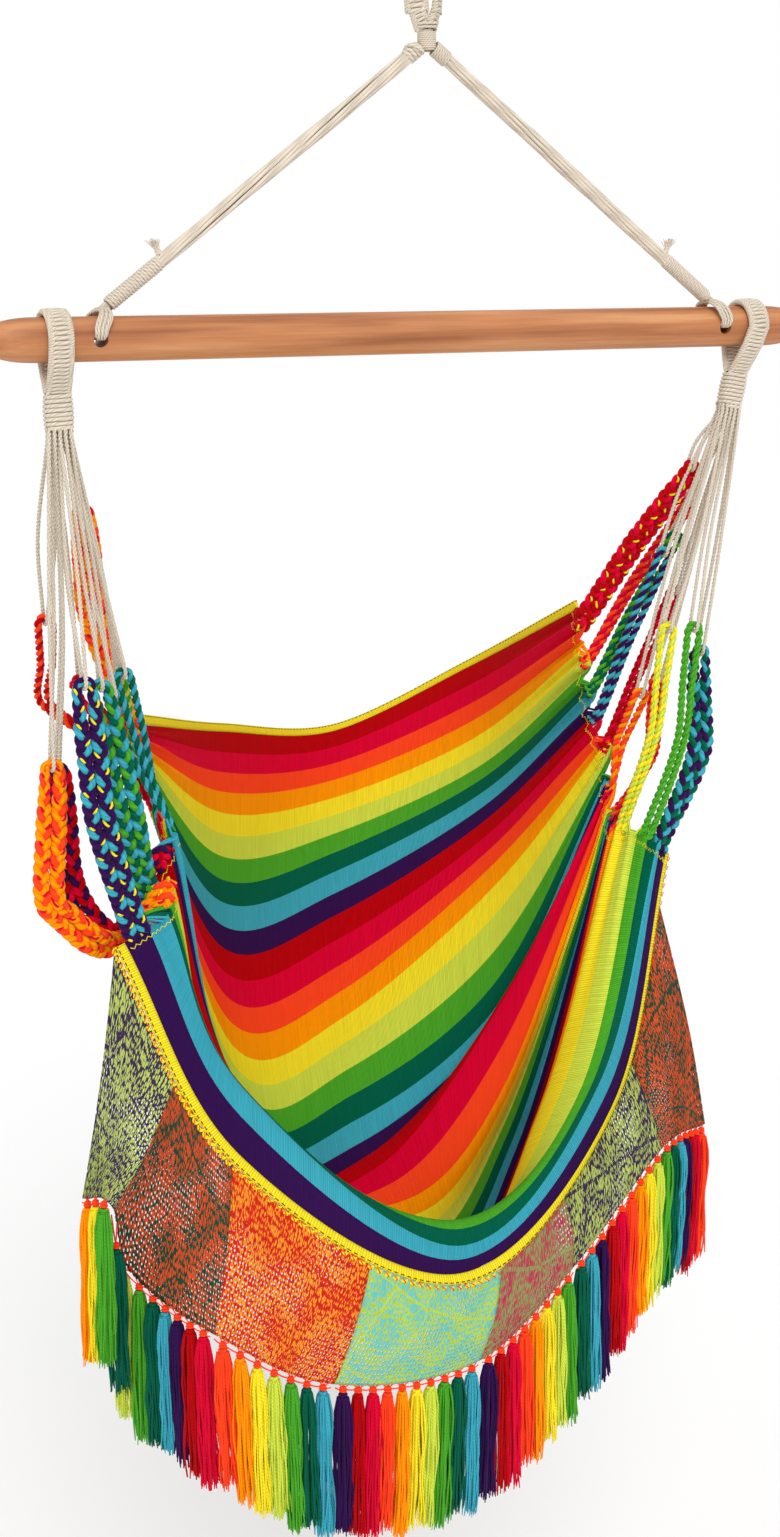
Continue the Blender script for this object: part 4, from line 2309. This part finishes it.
@dataclass
class LaceFront:
    """The seven lace panels, the net edge and the tassels.

    Attributes:
        wardrobe: The materials.
        yarns: Yarns in a tassel.
        net_thread: Radius of the net's thread.
        opening: The dyes of the first tassels, before and behind the hem's step.
        next_dye: The number of the dye that follows them, from which all ten repeat.
        tied: The knots laid so far.
    """

    wardrobe: Wardrobe
    yarns: int = 46
    net_thread: float = 0.8
    opening: tuple[Dye, ...] = (
        Dye.ORANGE, Dye.YELLOW, Dye.GREEN, Dye.TEAL, Dye.LIME, Dye.GREEN,
    )
    next_dye: int = 7
    tied: list[Vector] = field(default_factory=list)

    def build(self) -> None:
        """Build every panel with its stretch of fringe."""
        for number, (_, slot) in enumerate(LACE_PANELS):
            panel, flat = self.build_panel(number, slot)
            fringe = self.build_fringe(number)

    @staticmethod
    def ends(number: int, trims: float) -> Offsets:
        """The columns between which a panel or its net hangs.

        Args:
            number: The panel's number, from 0.
            trims: By how many trims it is drawn in at its seams.

        Returns:
            Its first and last column.
        """
        low, high = SEAM_COLUMNS[number], SEAM_COLUMNS[number + 1]
        start = low + (trims * SURFACE.seam_trim(low) if number else 0)
        return start, high - trims * SURFACE.seam_trim(high)

    def build_panel(self, number: int, slot: str) -> tuple[Object, Offsets]:
        """Lay one panel of lace.

        Args:
            number: The panel's number, from 0.
            slot: The record's material slot.

        Returns:
            The panel, and its flat width and length in metres.
        """
        low, high = self.ends(number, 0.1)
        widths = [
            length_of([SURFACE.lace_point(low + (high - low) * a, down) for a in in_steps(8)])
            for down in (0, 0.5, 1)
        ]
        width = sum(widths) / len(widths)

        def place(across: float, down: float) -> Vector:
            """The panel's point, with a soft ripple."""
            column = low + (high - low) * across
            point = SURFACE.lace_point(column, down)
            ripple = math.sin(column * 3.1 + 2.5 * down) + 0.6 * math.sin(column * 6.7 - 3 * down)
            point.y += 1.1 * ripple * math.sin(math.pi * min(down * 1.2, 1))
            return point

        shape = sheet(max(int(width / 6), 12), 28, place, (width * MM, 1.0))
        # The strip leans, so its flat length is its area over its width.
        length = sum(face.calc_area() for face in shape.faces) / width
        layer = shape.loops.layers.uv.active
        for face in shape.faces:
            for loop in face.loops:
                loop[layer].uv.y *= length * MM
        panel = finish_sheet(
            shape, f"lace_weave_{number + 1}", self.wardrobe.lace[number], slot,
            f"lace_panel_{number + 1}", 0.9,
        )
        return panel, (width * MM, length * MM)

    def build_fringe(self, number: int) -> Object:
        """Knot one stretch of the net edge and its tassels.

        Args:
            number: The panel's number, from 0.

        Returns:
            The fringe.
        """
        low, high = self.ends(number, NET_TRIMS)
        reach = 2 * TASSEL_RADIUS + SEAM_GAP
        columns, knots = [], []
        for column in SURFACE.tassel_columns(low, high):
            knot = SURFACE.net_point(column)
            if all((knot - other).xy.length > reach for other in self.tied):
                columns.append(column)
                knots.append(knot)
        tied = len(self.tied)
        dyes = [self.tassel_dye(i) for i in range(tied, tied + len(knots))]
        self.tied += knots
        used = list(dict.fromkeys([Dye.CORAL, *dyes]))
        materials = [self.wardrobe.loose[dye] for dye in used]
        fringe = Strands(f"fringe_tassels_{number + 1}", materials, roundness=0)
        chance = random.Random(40 + number)
        places = [SURFACE.net_point(low), *knots, SURFACE.net_point(high)]
        self.lay_net(fringe, places, columns, chance)
        for knot, dye in zip(knots, dyes):
            self.lay_tassel(fringe, knot, used.index(dye), chance)
        return fringe.piece("sling", f"fringe_{number + 1}", slot="tassel_yarn")

    def tassel_dye(self, number: int) -> Dye:
        """The dye of a tassel, from its number from 0."""
        if number < len(self.opening):
            return self.opening[number]
        return list(Dye)[(self.next_dye + number - len(self.opening)) % len(Dye)]

    def lay_net(
        self, fringe: Strands, places: Sequence[Vector], columns: Sequence[float],
        chance: random.Random,
    ) -> None:
        """Lay the net's cord and the open threads that tie it to the hem.

        Args:
            fringe: The strands that it is added to.
            places: The net's points: its ends and its knots.
            columns: The columns of the knots.
            chance: The seeded randomness.
        """
        for before, after in zip(places, places[1:]):
            sag = (before + after) / 2 - Z_AXIS * 1.5
            fringe.lay([smooth_route([before, sag, after], step=2.0)], self.net_thread)
        for knot, column in zip(places[1:-1], columns):
            for shift in (-0.11, 0.11):
                hem = SURFACE.lace_point(clamp(column + shift, 0, SEAM_COLUMNS[-1]), 0.994)
                bend = (hem + knot) / 2 + Vector((0, chance.uniform(-0.8, 0.8), 0))
                fringe.lay([[hem, bend, knot]], self.net_thread)
            for level, size in ((0.6, 2.5), (-2.2, 2.9)):
                ring = hoop(knot, size, count=8, level=level, warp=0.5)
                fringe.lay([ring], radius=1.5, closed=True)

    def lay_tassel(
        self, fringe: Strands, knot: Vector, material: int, chance: random.Random,
    ) -> None:
        """Lay one tassel: its wrapped neck and its loose yarns.

        Args:
            fringe: The strands that it is added to.
            knot: Where it is tied.
            material: The number of its yarn's material.
            chance: The seeded randomness.
        """
        sway = 5.0 * math.sin(knot.x / 60)
        length = TASSEL_LENGTH * (0.99 + 0.04 * math.sin(9 * knot.x / 60))
        for level, radius in ((-6.5, 3.0), (-10.0, 3.7)):
            ring = hoop(knot, radius, count=9, level=level)
            fringe.lay([ring], radius=2.1, material=material, closed=True)
        neck = 9
        lines = []
        for _ in range(self.yarns):
            angle = chance.uniform(0, TURN)
            reach = 1.34 * TASSEL_RADIUS * math.sqrt(chance.uniform(0.02, 1.0))
            end = length * chance.uniform(0.93, 1.0)
            wander = chance.uniform(0, TURN)
            shift = chance.gauss(0, 1.8)
            bends = chance.uniform(6, 13)
            line = []
            for share in in_steps(9):
                drop = neck + (end - neck) * share
                size = 0.62 + 0.38 * min(share * 8, 1)
                wave = 1.7 * math.sin(wander + bends * share) * min(share * 3, 1)
                out = reach * size + wave
                lean = sway * (drop / length) ** 2
                x = knot.x + lean + out * math.cos(angle) + shift * share ** 2
                line.append(Vector((x, knot.y + out * math.sin(angle), knot.z - drop)))
            lines.append(line)
        thinning = [1, 1, 1, 1, 1, 1, 1, 0.95, 0.85, 0.5]
        fringe.lay(lines, radius=1.2, material=material, radii=thinning)


# ------------------------------------------------------------------------------
# The studio.
# ------------------------------------------------------------------------------


@dataclass
class Studio:
    """The camera, the lamp, the floor and the white background.

    Attributes:
        place: Where the camera stands, in metres.
        heading: How far it looks round to the right of the back, in degrees.
        pitch: How far it looks down, in degrees.
        lens: Focal length in millimetres on a 36 mm sensor.
        floor: Height of the floor, in metres.
        key: Strength of the lamp.
        key_heading: The way that its light goes.
        fill: Brightness of the room.
    """

    place: Place = (-0.8872, -1.905, -0.3386)
    heading: float = 24.0
    pitch: float = 14.55
    lens: float = 47.81
    floor: float = -2.3
    key: float = 1.5
    key_heading: Place = (0.25, 0.85, -0.75)
    fill: float = 0.74

    def build(self) -> None:
        """Build the studio."""
        self.build_camera()
        self.build_floor()
        self.build_lamp()
        self.build_world()
        bpy.context.scene.view_settings.view_transform = "Standard"

    def build_camera(self) -> None:
        """Place the camera."""
        data = bpy.data.cameras.new("camera")
        data.lens = self.lens
        data.sensor_width = 36.0
        data.sensor_fit = "AUTO"
        data.clip_end = 100.0
        camera = linked("camera", data)
        camera.location = self.place
        heading, pitch = math.radians(self.heading), math.radians(self.pitch)
        level = math.cos(pitch)
        gaze = Vector((math.sin(heading) * level, math.cos(heading) * level, -math.sin(pitch)))
        camera.rotation_euler = gaze.to_track_quat("-Z", "Y").to_euler()
        bpy.context.scene.camera = camera

    def build_floor(self) -> None:
        """Lay the plain pale floor."""
        shape = bmesh.new()
        bmesh.ops.create_grid(shape, x_segments=1, y_segments=1, size=14.0)
        bmesh.ops.translate(shape, verts=shape.verts, vec=(0, 0, self.floor))
        mesh = bpy.data.meshes.new("floor")
        shape.to_mesh(mesh)
        shape.free()
        material = bpy.data.materials.new("pale_floor")
        material.use_nodes = True
        surface = material.node_tree.nodes["Principled BSDF"].inputs
        surface["Base Color"].default_value = (0.97, 0.97, 0.97, 1)
        surface["Roughness"].default_value = 1.0
        surface["Specular IOR Level"].default_value = 0.0
        mesh.materials.append(material)
        linked("floor", mesh)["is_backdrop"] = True

    def build_lamp(self) -> None:
        """Hang one broad, soft lamp that lights the chair and the floor evenly."""
        data = bpy.data.lights.new("soft_key", "SUN")
        data.energy = self.key
        data.angle = math.radians(30)
        lamp = linked("soft_key", data)
        lamp.location = (-2.0, -3.0, 3.0)
        lamp.rotation_euler = Vector(self.key_heading).to_track_quat("-Z", "Y").to_euler()

    def build_world(self) -> None:
        """Light the room evenly and show white behind the chair."""
        world = bpy.data.worlds.new("studio")
        bpy.context.scene.world = world
        world.use_nodes = True
        shader = Shader(world.node_tree)
        background = world.node_tree.nodes["Background"].inputs
        background["Color"].default_value = (1, 1, 1, 1)
        rays = shader.node("LightPath").outputs
        seen = shader.math("MAXIMUM", rays["Is Camera Ray"], rays["Is Glossy Ray"])
        seen = shader.math("MAXIMUM", seen, rays["Is Transmission Ray"])
        strength = shader.math("MULTIPLY_ADD", seen, 1.0 - self.fill, self.fill)
        shader.feed(background["Strength"], strength)


# ------------------------------------------------------------------------------
# The whole chair.
# ------------------------------------------------------------------------------


def write_sizes(cad: object, visual: object) -> None:
    """Args:
        cad: The part's box.
        visual: The dressed chair's box.
    """
    boxes = {
        name: [[round(float(value), 5) for value in corner] for corner in box]
        for name, box in (("cad", cad), ("visual", visual))
    }


def main() -> None:
    """Build the chair and the studio."""
    logging.basicConfig(level=logging.INFO, format="%(name)s %(message)s")
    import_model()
    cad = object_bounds()
    Studio().build()
    wardrobe = Wardrobe()
    HangingRope(wardrobe).build()
    SpreaderBar(wardrobe).build()
    Sling(wardrobe, Side.LEFT, LEFT_BRAIDS, LEFT_LEAN).build()
    Sling(wardrobe, Side.RIGHT, RIGHT_BRAIDS, RIGHT_LEAN).build()
    Seat(wardrobe).build()
    LaceFront(wardrobe).build()
    bpy.context.view_layer.update()
    write_sizes(cad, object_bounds())


if __name__ == "__main__":
    main()
